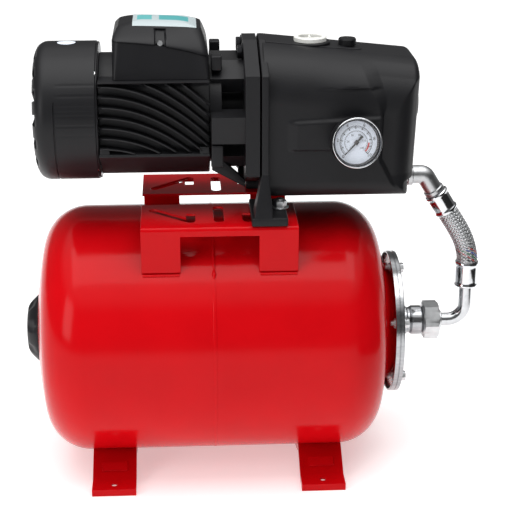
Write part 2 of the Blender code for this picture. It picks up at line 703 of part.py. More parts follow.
def curved_vane(inner, outer, wall, low, high):
    """A vane that sweeps back by an eighth of a turn from its inner to its outer radius."""
    sweep = math.radians(45)
    front = []
    back = []
    for i in range(6):
        share = i / 5
        radius = inner + (outer - inner) * share
        angle = -sweep * share
        half = wall / 2 / radius
        front.append((radius * math.cos(angle + half), radius * math.sin(angle + half)))
        back.append((radius * math.cos(angle - half), radius * math.sin(angle - half)))
    return prism(back + front[::-1], high - low, low)


def make_bearings():
    inside = hollow_radius(SHAFT_RADIUS + RUNNING_GAP, 20)
    for name, left in (("rear_bearing", REAR_BEARING_X), ("front_bearing", FRONT_BEARING_X)):
        outline = [(inside, left), (BEARING_OUTER, left), (BEARING_OUTER, left + BEARING_WIDTH),
                   (inside, left + BEARING_WIDTH)]
        piece(name, turned(outline, 20), STEEL, MOTOR_AXIS, ALONG_X)


def make_rear_shield():
    seat = hollow_radius(BEARING_OUTER + GAP, 20)
    hub = seat + SHIELD_WALL
    left = REAR_BEARING_X - SHIELD_WALL
    right = MOTOR_LEFT_X - GAP
    inside = right - SHIELD_WALL
    clear = hollow_radius(SHAFT_RADIUS + RUNNING_GAP, 20)
    outline = [(clear, left), (hub, left), (hub, inside), (COVER_RADIUS - COVER_WALL - GAP, inside),
               (COVER_RADIUS - COVER_WALL - GAP, right), (seat, right), (seat, REAR_BEARING_X - GAP),
               (clear, REAR_BEARING_X - GAP)]
    piece("rear_shield", turned(outline, 24), ALUMINIUM, MOTOR_AXIS, ALONG_X)


def make_fan_cover():
    """A cup over the fan, with air slots in the bevel between its end and its side."""
    wall = COVER_WALL
    left = COVER_LEFT_X
    radius = COVER_RADIUS
    bevel = COVER_BEVEL
    outline = [(0, left), (radius - bevel * 1.4, left), (radius - bevel * 0.4, left + bevel * 0.35),
               (radius, left + bevel), (radius, MOTOR_LEFT_X - GAP), (radius - wall, MOTOR_LEFT_X - GAP),
               (radius - wall, left + bevel), (radius - bevel * 0.4 - wall, left + bevel * 0.35 + wall),
               (radius - bevel * 1.4, left + wall), (0, left + wall)]
    cover = piece("fan_cover", turned(outline, 32), BLACK, MOTOR_AXIS, ALONG_X)
    inner = radius * 0.35
    for i in range(COVER_SLOTS):
        gap = prism(rectangle(inner, radius - bevel * 0.6, -COVER_SLOT_WIDTH / 2, COVER_SLOT_WIDTH / 2),
                    bevel, left - bevel / 2)
        bmesh.ops.rotate(gap, verts=gap.verts, matrix=spoke(i + 0.5, COVER_SLOTS))
        cut(cover, helper(f"cover_slot_{i + 1}", gap, MOTOR_AXIS, ALONG_X))


# ---------------------------------------------------------------- terminal box
def sloped_block(left, right, half_low, half_high, slope, low, high):
    """A block whose four sides lean inwards from low to high."""
    return tapered(rectangle(left, right, -half_low, half_low),
                   rectangle(left + slope, right - slope, -half_high, half_high), low, high)


def make_terminal_box():
    split = BOX_SPLIT_Z
    wall = BOX_WALL
    box = piece("terminal_box", sloped_block(BOX_LEFT_X, BOX_RIGHT_X, BOX_FOOT_HALF, BOX_SPLIT_HALF, 0.0,
                                             BOX_FOOT_Z, split), BLACK)
    saddle = helper("box_saddle", bore(MOTOR_CORE + GAP, BOX_LEFT_X - 0.01, BOX_RIGHT_X + 0.01, 40),
                    MOTOR_AXIS, ALONG_X)
    under = helper("box_under", prism(rectangle(BOX_LEFT_X - 0.01, BOX_RIGHT_X + 0.01, -0.1, 0.1),
                                      0.05, SHAFT_Z + MOTOR_SIDE_TOP + GAP - 0.05))
    tray = helper("box_tray", prism(rectangle(BOX_LEFT_X + wall, BOX_RIGHT_X - wall,
                                              wall - BOX_SPLIT_HALF, BOX_SPLIT_HALF - wall),
                                    0.03, BOX_FLOOR_Z))
    boss_y = BOX_FOOT_HALF - 0.001
    boss = helper("gland_boss", prism(circle(GLAND_BOSS, 16), 0.02, -0.02), (GLAND_X, boss_y, GLAND_Z),
                  Euler((-math.pi / 2, 0, 0)))
    entry = helper("gland_entry", prism(circle(GLAND_BORE, 10), 0.03, -0.025), (GLAND_X, boss_y, GLAND_Z),
                   Euler((-math.pi / 2, 0, 0)))
    cut(join(box, boss), saddle, under, tray, entry)

    lid = piece("terminal_lid", sloped_block(BOX_LEFT_X, BOX_RIGHT_X, BOX_SPLIT_HALF, BOX_TOP_HALF,
                                             BOX_END_SLOPE, split + GAP, BOX_TOP_Z), BLACK)
    hollow = sloped_block(BOX_LEFT_X + wall, BOX_RIGHT_X - wall, BOX_SPLIT_HALF - wall,
                          BOX_TOP_HALF - wall / 2, BOX_END_SLOPE, split - BOOLEAN_SPARE, BOX_TOP_Z - wall)
    cut(lid, helper("lid_hollow", hollow))

    middle = (BOX_LEFT_X + BOX_RIGHT_X) / 2
    half = CAPACITOR_LENGTH / 2
    axis = (0, 0, BOX_FLOOR_Z + CAPACITOR_RADIUS + 0.0015)
    can = turned([(0, middle - half), (CAPACITOR_RADIUS, middle - half),
                  (CAPACITOR_RADIUS, middle + half), (0, middle + half)], 20)
    piece("capacitor", can, GREY, axis, ALONG_X)

    gland = [(GLAND_BORE, 0), (GLAND_RADIUS, 0), (GLAND_RADIUS, GLAND_LENGTH * 0.35),
             (GLAND_RADIUS * 0.9, GLAND_LENGTH * 0.4), (GLAND_RADIUS * 0.9, GLAND_LENGTH * 0.8),
             (GLAND_RADIUS * 0.65, GLAND_LENGTH), (GLAND_BORE, GLAND_LENGTH)]
    piece("cable_gland", turned(gland, 16), BLACK, (GLAND_X, boss_y + GAP, GLAND_Z),
          Euler((-math.pi / 2, 0, 0)))


# ---------------------------------------------------------------- motor bracket
def make_motor_bracket():
    """The lantern between motor and wet end: a ring, four arms, the bearing hub and the pump plate."""
    plate = piece("motor_bracket", prism(pump_plate(), BRACKET_PLATE,
                                         BRACKET_PLATE_X), BLACK, MOTOR_AXIS, ALONG_X)
    left = MOTOR_RIGHT_X + GAP
    ring = helper("bracket_ring", bore(BRACKET_RING_RADIUS, left, left + BRACKET_RING), MOTOR_AXIS, ALONG_X)
    parts = [ring]
    for angle, inner, outer, width in BRACKET_ARMS:
        for side in (-1, 1):
            arm = prism(rectangle(-width / 2, width / 2, inner, outer), BRACKET_PLATE_X - left, left + 0.001)
            turn = Euler((0, 0, side * math.radians(angle))).to_matrix()
            bmesh.ops.rotate(arm, verts=arm.verts, matrix=turn)
            parts.append(helper(f"bracket_arm_{angle:.0f}_{side}", arm, MOTOR_AXIS, ALONG_X))
    parts.append(helper("bracket_hub", bore(BRACKET_HUB, left + 0.001, BRACKET_PLATE_X + 0.001),
                        MOTOR_AXIS, ALONG_X))
    join(plate, *parts)
    seat = hollow_radius(BEARING_OUTER + GAP, 20)
    bearing = bore(seat, left - BOOLEAN_SPARE, FRONT_BEARING_X + BEARING_WIDTH + GAP, 20)
    clear = bore(hollow_radius(SHAFT_RADIUS + RUNNING_GAP, 20), left, BRACKET_FACE_X + BOOLEAN_SPARE, 20)
    seal = bore(hollow_radius(SEAL_OUTER + GAP, 20), BRACKET_FACE_X - SEAL_SEAT_LENGTH - GAP,
                BRACKET_FACE_X + BOOLEAN_SPARE, 20)
    cut(plate, helper("bearing_seat", bearing, MOTOR_AXIS, ALONG_X),
        helper("shaft_hole", clear, MOTOR_AXIS, ALONG_X), helper("seal_pocket", seal, MOTOR_AXIS, ALONG_X))
    for i, y, z in casing_bolt_places():
        drill = bore(hollow_radius(CASING_BOLT_RADIUS + GAP, 10), BRACKET_PLATE_X - BOOLEAN_SPARE,
                     BRACKET_FACE_X + BOOLEAN_SPARE, 10)
        cut(plate, helper(f"bracket_drill_{i + 1}", drill, (0, y, z), ALONG_X))
    inside = hollow_radius(SHAFT_RADIUS + RUNNING_GAP, 20)
    seat_ring = [(inside, BRACKET_FACE_X - SEAL_SEAT_LENGTH), (SEAL_OUTER, BRACKET_FACE_X - SEAL_SEAT_LENGTH),
                 (SEAL_OUTER, BRACKET_FACE_X - GAP), (inside, BRACKET_FACE_X - GAP)]
    piece("seal_seat", turned(seat_ring, 20), CERAMIC, MOTOR_AXIS, ALONG_X)


def casing_bolt_places():
    corners = [(-1, 1), (1, 1), (-1, -1), (1, -1)]
    for i, (side, up) in enumerate(corners):
        yield i, side * CASING_BOLT_Y, SHAFT_Z + up * CASING_BOLT_Z


def make_casing_bolts():
    length = BRACKET_PLATE + CASING_PLATE + 0.0026
    for i, y, z in casing_bolt_places():
        head = prism(hexagon(BOLT_FLATS), BOLT_HEAD, BRACKET_PLATE_X - GAP - BOLT_HEAD)
        bolt = piece(f"casing_bolt_{i + 1}", head, ZINC, (0, y, z), ALONG_X)
        shank = prism(circle(CASING_BOLT_RADIUS, 10), length, BRACKET_PLATE_X - OVERLAP / 2)
        join(bolt, helper(f"casing_shank_{i + 1}", shank, (0, y, z), ALONG_X))


# ---------------------------------------------------------------- wet end
def casing_top(x):
    left = CASING_X + CASING_PLATE / 2
    share = (x - left) / (CASING_RIGHT_X - left)
    return CASING_TOP_LEFT_Z + (CASING_TOP_RIGHT_Z - CASING_TOP_LEFT_Z) * share


def outlet_top():
    """The flat on which the outlet plug seats, just above the sloping top of the casing."""
    return casing_top(OUTLET_X - OUTLET_HEAD) + 0.0005


def casing_body(inset):
    """Sections across the shaft, each a box with rounded long edges, joined along X."""
    shape = bmesh.new()
    left = CASING_X + CASING_PLATE / 2
    right = CASING_RIGHT_X - inset
    span = CASING_RIGHT_X - left
    stations = ((left, 0.0), (right - CASING_STEP - 0.010, 0.0), (right - 0.004, 0.003), (right, 0.009))
    upper = CASING_TOP_EDGE - inset
    lower = CASING_LOW_EDGE - inset
    rings = []
    for x, less in stations:
        top = CASING_TOP_LEFT_Z + (CASING_TOP_RIGHT_Z - CASING_TOP_LEFT_Z) * (x - left) / span
        top -= inset + less
        low = CASING_BOTTOM_Z + inset + less
        wide = CASING_HALF - inset - less
        corners = ((upper, wide - upper, top - upper, 0), (upper, upper - wide, top - upper, 90),
                   (lower, lower - wide, low + lower, 180), (lower, wide - lower, low + lower, 270))
        ring = []
        for edge, y, z, start in corners:
            ring += arc(edge, start, start + 90, 5 if edge > CASING_LOW_EDGE else 3, (y, z))
        rings.append([shape.verts.new((x, y, z)) for y, z in ring])
    count = len(rings[0])
    shape.faces.new(rings[0])
    shape.faces.new(rings[-1])
    for near, far in zip(rings, rings[1:]):
        for i in range(count):
            shape.faces.new((near[i], near[(i + 1) % count], far[(i + 1) % count], far[i]))
    return shape


def make_pump_casing():
    casing = piece("pump_casing", prism(pump_plate(), CASING_PLATE,
                                        CASING_X), CAST_IRON, MOTOR_AXIS, ALONG_X)
    body = helper("casing_body", casing_body(0.0))
    outlet = helper("outlet_boss", prism(circle(OUTLET_BOSS, 24), 0.030, outlet_top() - 0.030),
                    (OUTLET_X, 0, 0))
    parts = [body, outlet]
    foot_high = RAIL_TOP_Z + GAP + CASING_FOOT
    right = CASING_FOOT_X + CASING_FOOT_LENGTH
    for side in (-1, 1):
        base = prism(side_rectangle(side, CASING_FOOT_X, right, CASING_FOOT_GAP_HALF, CASING_FOOT_REACH),
                     CASING_FOOT, RAIL_TOP_Z + GAP)
        web = prism(side_rectangle(side, CASING_X, CASING_X + CASING_PLATE, CASING_FOOT_GAP_HALF,
                                   CASING_LEG_ROOT),
                    CASING_LEG_TOP_Z - foot_high - 2 * OVERLAP, foot_high - OVERLAP)
        leg = tapered(side_rectangle(side, CASING_X - 0.009, CASING_X + CASING_PLATE,
                                     CASING_LEG_ROOT - 0.002, CASING_FOOT_REACH),
                      side_rectangle(side, CASING_X, CASING_X + CASING_PLATE, CASING_LEG_ROOT + 0.004,
                                     PLATE_HALF_WIDTH - 0.001),
                      foot_high - 0.002, CASING_LEG_TOP_Z)
        parts.append(helper(f"casing_foot_{side}", base))
        parts.append(helper(f"casing_web_{side}", web))
        parts.append(helper(f"casing_leg_{side}", leg))
    radius = EJECTOR_BOSS
    boss = turned([(0, 0.090), (radius, 0.094), (radius, 0.160), (radius * 0.6, 0.172), (0, 0.172)], 16)
    parts.append(helper("ejector_boss", boss, (0, EJECTOR_BOSS_Y, GAUGE_FACE[2]), ALONG_X))
    join(casing, *parts)

    mouth = bore(CASING_MOUTH, CASING_X - BOOLEAN_SPARE, CASING_X + 0.012)
    cuts = [helper("casing_hollow", casing_body(CASING_WALL)),
            helper("casing_mouth", mouth, MOTOR_AXIS, ALONG_X)]
    top = CASING_TOP_LEFT_Z + 0.01
    ports = (("outlet_hole", OUTLET_X, OUTLET_RADIUS), ("priming_hole", PRIMING_X, PRIMING_RADIUS))
    for name, x, radius in ports:
        drill = prism(circle(hollow_radius(radius + GAP, 16), 16), 0.040, top - 0.040)
        cuts.append(helper(name, drill, (x, 0, 0)))
    suction = bore(hollow_radius(SUCTION_RADIUS + GAP, 16), CASING_RIGHT_X - 0.02, CASING_RIGHT_X + 0.02, 16)
    cuts.append(helper("suction_hole", suction, (0, 0, SUCTION_Z), ALONG_X))
    tank_port = bore(hollow_radius(ELBOW_RADIUS * 0.8 + GAP, 16), CASING_RIGHT_X - 0.03,
                     CASING_RIGHT_X + 0.02, 16)
    cuts.append(helper("tank_port", tank_port, (0, 0, ELBOW_Z), ALONG_X))
    notch = prism(rectangle(CASING_RIGHT_X - CASING_STEP, CASING_RIGHT_X + 0.01, -0.1, 0.1),
                  CASING_STEP_Z - 0.2, 0.2)
    cuts.append(helper("casing_notch", notch))
    drain = prism(circle(hollow_radius(DRAIN_RADIUS + GAP, 12), 12), 0.03, CASING_BOTTOM_Z - 0.01)
    cuts.append(helper("drain_hole", drain, (DRAIN_X, 0, 0)))
    gauge = aimed(prism(circle(hollow_radius(GAUGE_STEM + GAP, 12), 12), 0.05, -GAUGE_DEPTH - 0.045))
    cuts.append(helper("gauge_hole", gauge, GAUGE_FACE))
    switch = prism(circle(hollow_radius(SWITCH_STEM + GAP, 12), 12), 0.03, -0.015)
    cuts.append(helper("switch_hole", switch, (SWITCH_X, CASING_HALF, SWITCH_Z), ALONG_MINUS_Y))
    for i, y, z in casing_bolt_places():
        drill = bore(hollow_radius(CASING_BOLT_RADIUS + GAP, 10), CASING_X - BOOLEAN_SPARE,
                     CASING_X + CASING_PLATE + BOOLEAN_SPARE, 10)
        cuts.append(helper(f"casing_drill_{i + 1}", drill, (0, y, z), ALONG_X))
    cut(casing, *cuts)
    for side in (-1, 1):
        drill_foot_bolt(casing, "casing", side)

    gasket = [(GASKET_INNER, BRACKET_FACE_X + GAP), (GASKET_OUTER, BRACKET_FACE_X + GAP),
              (GASKET_OUTER, CASING_X - GAP), (GASKET_INNER, CASING_X - GAP)]
    piece("casing_gasket", turned(gasket, 24), RUBBER, MOTOR_AXIS, ALONG_X)


def make_hydraulics():
    """The diffuser round the impeller and the ejector that feeds it, inside the casing."""
    eye = IMPELLER_EYE
    left = IMPELLER_X + IMPELLER_WIDTH + 0.001
    right = left + 0.022
    radius = DIFFUSER_RADIUS
    wall = DIFFUSER_WALL
    low_x = CASING_X + 0.013
    diffuser = [(radius - wall, low_x), (radius, low_x), (radius, left + wall), (eye + 0.006, right),
                (eye, right), (eye, left + wall + 0.002), (eye + 0.004, left), (radius - wall, left)]
    piece("diffuser", turned(diffuser, 24), GREY, MOTOR_AXIS, ALONG_X)
    start = right + GAP
    throat = VENTURI_THROAT
    outer = VENTURI_RADIUS
    tube = [(eye - 0.006, start), (eye + 0.003, start), (eye + 0.003, start + 0.006), (outer, start + 0.012),
            (outer, VENTURI_RIGHT_X), (outer - 0.003, VENTURI_RIGHT_X), (throat, VENTURI_RIGHT_X - 0.02)]
    piece("venturi_tube", turned(tube, 20), GREY, MOTOR_AXIS, ALONG_X)
    jet_left = VENTURI_RIGHT_X + 0.004
    nozzle = [(NOZZLE_TIP - 0.002, jet_left), (NOZZLE_TIP, jet_left), (NOZZLE_RADIUS, NOZZLE_RIGHT_X - 0.004),
              (NOZZLE_RADIUS, NOZZLE_RIGHT_X), (NOZZLE_RADIUS - 0.003, NOZZLE_RIGHT_X)]
    piece("jet_nozzle", turned(nozzle, 20), BRASS, (0, 0, SUCTION_Z), ALONG_X)


# ---------------------------------------------------------------- plugs
def plug(name, surface, radius, head, thread, height, place, turn, parent=None):
    """A flat-headed screw plug, with its head along +Z of its own frame."""
    outline = [(0, -thread), (radius, -thread), (radius, GAP), (head, GAP), (head, height * 0.75),
               (head * 0.93, height), (0, height)]
    return piece(name, turned(outline, 16), surface, place, turn, parent)


def make_plugs():
    plug("outlet_plug", WHITE, OUTLET_RADIUS, OUTLET_HEAD, 0.010, 0.003, (OUTLET_X, 0, outlet_top()), ALONG_Z)
    plug("priming_plug", BLACK, PRIMING_RADIUS, PRIMING_HEAD, 0.010, 0.006,
         (PRIMING_X, 0, casing_top(PRIMING_X - PRIMING_HEAD) + GAP), ALONG_Z)
    plug("suction_plug", WHITE, SUCTION_RADIUS, SUCTION_RADIUS - 0.0002, 0.007, 0.0008,
         (CASING_RIGHT_X - 0.0012, 0, SUCTION_Z), ALONG_X)
    plug("drain_plug", BLACK, DRAIN_RADIUS, DRAIN_HEAD, 0.009, 0.004, (DRAIN_X, 0, CASING_BOTTOM_Z),
         DOWNWARDS)


# ---------------------------------------------------------------- gauge and switch
def gauge_direction():
    yaw = math.radians(GAUGE_YAW)
    lift = math.radians(GAUGE_LIFT)
    return Vector((math.sin(yaw) * math.cos(lift), -math.cos(yaw) * math.cos(lift), math.sin(lift)))


def gauge_turn():
    """The turn that lays Z along the gauge's axis and keeps its own Y pointing up."""
    return gauge_direction().to_track_quat("Z", "Y").to_matrix()


def aimed(shape):
    bmesh.ops.rotate(shape, verts=shape.verts, matrix=gauge_turn())
    return shape


def make_gauge():
    radius = GAUGE_RADIUS
    wall = GAUGE_WALL
    depth = GAUGE_DEPTH
    case = [(0, -depth - 0.022), (GAUGE_STEM, -depth - 0.022), (GAUGE_STEM, -depth),
            (radius - 0.004, -depth), (radius - 0.001, -depth + 0.003), (radius - 0.001, -0.004),
            (radius - 0.001 - wall, -0.004), (radius - 0.001 - wall, -0.0075), (0, -0.0075)]
    piece("gauge_case", aimed(turned(case, 24)), BLACK, GAUGE_FACE)
    bezel = [(radius - wall - 0.0008, -0.0035), (radius, -0.0035), (radius, -0.0008),
             (radius - 0.0008, 0), (radius - 0.0025, 0), (radius - 0.0025, -0.0008),
             (radius - wall - 0.0008, -0.0012)]
    piece("gauge_bezel", aimed(turned(bezel, 24)), CHROME, GAUGE_FACE)
    glass = radius - wall - 0.0008 - GAP
    pane = [(0, -0.0030), (glass, -0.0030), (glass, -0.0016), (0, -0.0016)]
    piece("gauge_glass", aimed(turned(pane, 24)), GLASS, GAUGE_FACE)
    angle = math.radians(NEEDLE_ZERO)
    tip = 0.0003
    pointer = [(-NEEDLE_TAIL, -NEEDLE_WIDTH), (-0.0022, -NEEDLE_WIDTH), (-0.0018, -0.0022),
               (0.0018, -0.0022), (0.0022, -NEEDLE_WIDTH * 0.6), (NEEDLE_LENGTH, -tip),
               (NEEDLE_LENGTH, tip), (0.0022, NEEDLE_WIDTH * 0.6), (0.0018, 0.0022), (-0.0018, 0.0022),
               (-0.0022, NEEDLE_WIDTH), (-NEEDLE_TAIL, NEEDLE_WIDTH)]
    needle = prism(pointer, 0.0008, -0.0055)
    bmesh.ops.rotate(needle, verts=needle.verts, matrix=Euler((0, 0, angle)).to_matrix())
    piece("gauge_needle", aimed(needle), BLACK, GAUGE_FACE)


def make_pressure_switch():
    """A closed switch on a short stem, on the side of the casing away from the gauge."""
    low_y = CASING_HALF + SWITCH_STANDOFF
    block = prism(rectangle(-SWITCH_LENGTH / 2, SWITCH_LENGTH / 2, -SWITCH_HEIGHT / 2, SWITCH_HEIGHT / 2),
                  SWITCH_DEPTH, -SWITCH_DEPTH)
    switch = piece("pressure_switch", block, BLACK, (SWITCH_X, low_y, SWITCH_Z), ALONG_MINUS_Y)
    change = switch.modifiers.new("edges", "BEVEL")
    change.width = 0.004
    change.segments = 2
    stem = prism(circle(SWITCH_STEM, 12), SWITCH_STANDOFF + 0.012, -0.003)
    join(switch, helper("switch_stem", stem, (SWITCH_X, low_y, SWITCH_Z), ALONG_MINUS_Y))


# ---------------------------------------------------------------- hose
def swept(route, radius, sides=10):
    """A round rod along a route of (x, z) points in the plane y = 0."""
    shape = bmesh.new()
    rings = []
    for i, (x, z) in enumerate(route):
        before = route[max(i - 1, 0)]
        after = route[min(i + 1, len(route) - 1)]
        run = Vector((after[0] - before[0], after[1] - before[1])).normalized()
        rings.append([shape.verts.new((x - run.y * across, away, z + run.x * across))
                      for across, away in circle(radius, sides)])
    shape.faces.new(rings[0])
    shape.faces.new(rings[-1])
    for near, far in zip(rings, rings[1:]):
        for i in range(sides):
            shape.faces.new((near[i], near[(i + 1) % sides], far[(i + 1) % sides], far[i]))
    return shape


def hose_direction():
    angle = math.radians(HOSE_TOP_TURN)
    return -math.cos(angle), math.sin(angle)


def hose_route():
    """A smooth curve that leaves the lower ferrule upwards and enters the upper one along its axis."""
    start = (HOSE_FOOT_X, FERRULE_LOW_Z + FERRULE_LENGTH)
    across, up = hose_direction()
    end = HOSE_TOP
    inside = 0.012
    pull = 0.068
    route = [(start[0], start[1] - inside)]
    steps = 10
    for i in range(steps + 1):
        t = i / steps
        a = 2 * t ** 3 - 3 * t ** 2 + 1
        b = t ** 3 - 2 * t ** 2 + t
        c = 3 * t ** 2 - 2 * t ** 3
        d = t ** 3 - t ** 2
        route.append((a * start[0] + c * end[0] + d * pull * across,
                      a * start[1] + b * pull + c * end[1] + d * pull * up))
    route.append((end[0] + across * inside, end[1] + up * inside))
    return route


def ferrule_outline(length, pipe):
    """A crimped sleeve: the hose goes in at its top end and the pipe at its bottom end."""
    radius = FERRULE_RADIUS
    bead = FERRULE_BEAD
    hose = hollow_radius(HOSE_RADIUS + GAP, 10)
    seat = length * 0.42
    return [(pipe, 0), (radius - 0.001, 0), (radius + bead, 0.0015), (radius + bead, 0.0035),
            (radius, 0.005), (radius, length - 0.005), (radius + bead, length - 0.0035),
            (radius + bead, length), (hose, length), (hose, seat), (pipe, seat)]


def make_hose():
    piece("hose", swept(hose_route(), HOSE_RADIUS), BRAID)
    pipe = hollow_radius(PIPE_RADIUS + GAP, 10)
    piece("ferrule_lower", turned(ferrule_outline(FERRULE_LENGTH, pipe), 16), CHROME,
          (HOSE_FOOT_X, 0, FERRULE_LOW_Z))
    across, up = hose_direction()
    top = (HOSE_TOP[0] + across * UPPER_FERRULE_LENGTH, 0, HOSE_TOP[1] + up * UPPER_FERRULE_LENGTH)
    lean = Vector((-across, 0, -up)).to_track_quat("Z", "Y").to_euler()
    spigot = hollow_radius(PIPE_RADIUS + GAP, 10)
    piece("ferrule_upper", turned(ferrule_outline(UPPER_FERRULE_LENGTH, spigot), 16), CHROME, top, lean)

    bend = arc(PIPE_BEND, -90, 0, 8, (HOSE_FOOT_X - PIPE_BEND, TANK_AXIS_Z + PIPE_BEND))
    low = UNION_LEFT_X + UNION_LENGTH * 0.55
    pipe_top = FERRULE_LOW_Z + FERRULE_LENGTH * 0.42 - GAP
    piece("hose_elbow", swept([(low, TANK_AXIS_Z)] + bend + [(HOSE_FOOT_X, pipe_top)], PIPE_RADIUS), STEEL)

    nut = piece("union_nut", prism(hexagon(UNION_FLATS), UNION_LENGTH), ZINC,
                (UNION_LEFT_X, 0, TANK_AXIS_Z), ALONG_X)
    hole = helper("union_bore", bore(hollow_radius(PIPE_RADIUS + GAP, 10), -BOOLEAN_SPARE,
                                     UNION_LENGTH + BOOLEAN_SPARE, 10),
                  (UNION_LEFT_X, 0, TANK_AXIS_Z), ALONG_X)
    cut(nut, hole)
    make_outlet_elbow(top, across, up)


def make_outlet_elbow(top, across, up):
    """A cast elbow from the casing's tank port down to the upper ferrule, with a spigot at each end."""
    turn = math.radians(HOSE_TOP_TURN)
    leg = ELBOW_BEND * math.tan(turn / 2)
    start = (CASING_RIGHT_X - CASING_STEP + GAP, ELBOW_Z)
    centre = (ELBOW_CORNER_X - leg, ELBOW_Z - ELBOW_BEND)
    bend = arc(ELBOW_BEND, 90, 90 - HOSE_TOP_TURN, 6, centre)
    end = (top[0] + across * GAP, top[2] + up * GAP)
    elbow = piece("outlet_elbow", swept([start] + bend + [end], ELBOW_RADIUS), ALUMINIUM)
    thread = helper("elbow_thread", bore(ELBOW_RADIUS * 0.8, CASING_RIGHT_X - 0.018, CASING_RIGHT_X, 16),
                    (0, 0, ELBOW_Z), ALONG_X)
    reach = UPPER_FERRULE_LENGTH * 0.42 - GAP
    spigot = helper("elbow_spigot", prism(circle(PIPE_RADIUS, 10), reach + 0.004, -0.004), top,
                    Vector((-across, 0, -up)).to_track_quat("Z", "Y").to_euler())
    join(elbow, thread, spigot)


# ---------------------------------------------------------------- build
for leftover in list(bpy.data.objects):
    bpy.data.objects.remove(leftover, do_unlink=True)

STAND = bpy.data.objects.new("stand", None)
bpy.context.collection.objects.link(STAND)
STAND.location = (STAND_X, 0, 0)
SPINDLE = bpy.data.objects.new("spindle", None)
bpy.context.collection.objects.link(SPINDLE)
SPINDLE.parent = STAND

MOTOR_AXIS = (0, 0, SHAFT_Z)
BRACKET_FACE_X = BRACKET_PLATE_X + BRACKET_PLATE
CASING_LEG_TOP_Z = SHAFT_Z - PLATE_SIDE_HALF - 0.003

RED = paint("red enamel", 0.68, 0.008, 0.012, 0.0, 0.18)
BLACK = paint("black plastic", 0.018, 0.018, 0.020, 0.0, 0.45)
CAST_IRON = paint("black painted cast iron", 0.020, 0.020, 0.022, 0.0, 0.50)
STEEL = paint("steel", 0.55, 0.55, 0.56, 1.0, 0.30)
ZINC = paint("zinc plated steel", 0.62, 0.63, 0.64, 1.0, 0.35)
CHROME = paint("chrome", 0.80, 0.80, 0.80, 1.0, 0.10)
ALUMINIUM = paint("cast aluminium", 0.60, 0.60, 0.60, 1.0, 0.40)
BRAID = paint("braided steel", 0.60, 0.60, 0.62, 1.0, 0.35)
BRASS = paint("brass", 0.60, 0.42, 0.16, 1.0, 0.30)
COPPER = paint("wound copper", 0.45, 0.16, 0.07, 0.6, 0.45)
RUBBER = paint("rubber", 0.02, 0.02, 0.02, 0.0, 0.80)
CERAMIC = paint("ceramic", 0.75, 0.73, 0.68, 0.0, 0.30)
GREY = paint("grey plastic", 0.30, 0.31, 0.32, 0.0, 0.50)
WHITE = paint("white plastic", 0.80, 0.80, 0.78, 0.0, 0.45)
GLASS = paint("glass", 0.85, 0.88, 0.90, 0.0, 0.05)

make_tank_flange(make_tank())
make_air_valve()
make_foot("foot_left", FOOT_OFFSET_X - FOOT_X)
make_foot("foot_right", FOOT_OFFSET_X + FOOT_X)
make_rail("pump_rail_near", -1)
make_rail("pump_rail_far", 1)
make_foot_bolt("foot_bolt_near", -1)
make_foot_bolt("foot_bolt_far", 1)
make_motor_housing()
make_stator()
make_rotor()
make_bearings()
make_rear_shield()
make_fan_cover()
make_terminal_box()
make_motor_bracket()
make_casing_bolts()
make_pump_casing()
make_hydraulics()
make_plugs()
make_gauge()
make_pressure_switch()
make_hose()
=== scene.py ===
"""Looks of a jet pump booster set: a black pump and motor on a red pressure tank, with gauge and hose.

Every shape is worked out in millimetres from the middle of the two pump rails: x along the motor shaft
towards the hose, -y towards the gauge, z up from the floor. build() turns it into metres in the
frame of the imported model.
"""
import json
import math

import bmesh
import bpy
import numpy as np
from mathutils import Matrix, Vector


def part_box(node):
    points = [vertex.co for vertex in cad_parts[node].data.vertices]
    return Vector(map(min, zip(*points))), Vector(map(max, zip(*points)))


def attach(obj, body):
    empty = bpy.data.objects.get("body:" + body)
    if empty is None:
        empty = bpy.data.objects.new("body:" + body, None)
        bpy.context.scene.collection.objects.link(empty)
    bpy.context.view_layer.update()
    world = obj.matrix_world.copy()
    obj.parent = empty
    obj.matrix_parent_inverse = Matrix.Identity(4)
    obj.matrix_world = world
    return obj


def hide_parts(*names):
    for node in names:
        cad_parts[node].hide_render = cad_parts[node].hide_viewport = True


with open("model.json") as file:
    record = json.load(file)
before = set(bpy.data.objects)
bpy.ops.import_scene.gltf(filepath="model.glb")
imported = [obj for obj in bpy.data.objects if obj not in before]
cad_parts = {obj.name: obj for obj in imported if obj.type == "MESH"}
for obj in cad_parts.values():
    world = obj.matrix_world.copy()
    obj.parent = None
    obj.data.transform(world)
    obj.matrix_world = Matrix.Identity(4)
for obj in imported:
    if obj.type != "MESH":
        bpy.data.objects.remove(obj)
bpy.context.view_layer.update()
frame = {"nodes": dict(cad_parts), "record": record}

RAIL_LOW, RAIL_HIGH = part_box("pump_rail_near")
MIDDLE_X = (RAIL_LOW.x + RAIL_HIGH.x) / 2
MM = 0.001

SHAFT = 396.5        # height of the motor shaft
TANK_AXIS = 149.5    # height of the tank's axis
TANK_RADIUS = 135.0

# ---------------------------------------------------------------- camera, floor and light
CAMERA_PLACE = (-0.0791, -1.4870, 0.7788)
CAMERA_DOWN = 20.26          # degrees below the horizon
CAMERA_TURN = 3.10           # degrees from +y towards +x
LENS = 101.7


def make_camera():
    """The camera stands at its place, turned and tipped by the two angles above."""
    lens = bpy.data.cameras.new("studio_camera")
    lens.lens = LENS
    camera = bpy.data.objects.new("studio_camera", lens)
    camera.location = CAMERA_PLACE
    camera.rotation_euler = (math.radians(90 - CAMERA_DOWN), 0, math.radians(-CAMERA_TURN))
    bpy.context.collection.objects.link(camera)
    bpy.context.scene.camera = camera


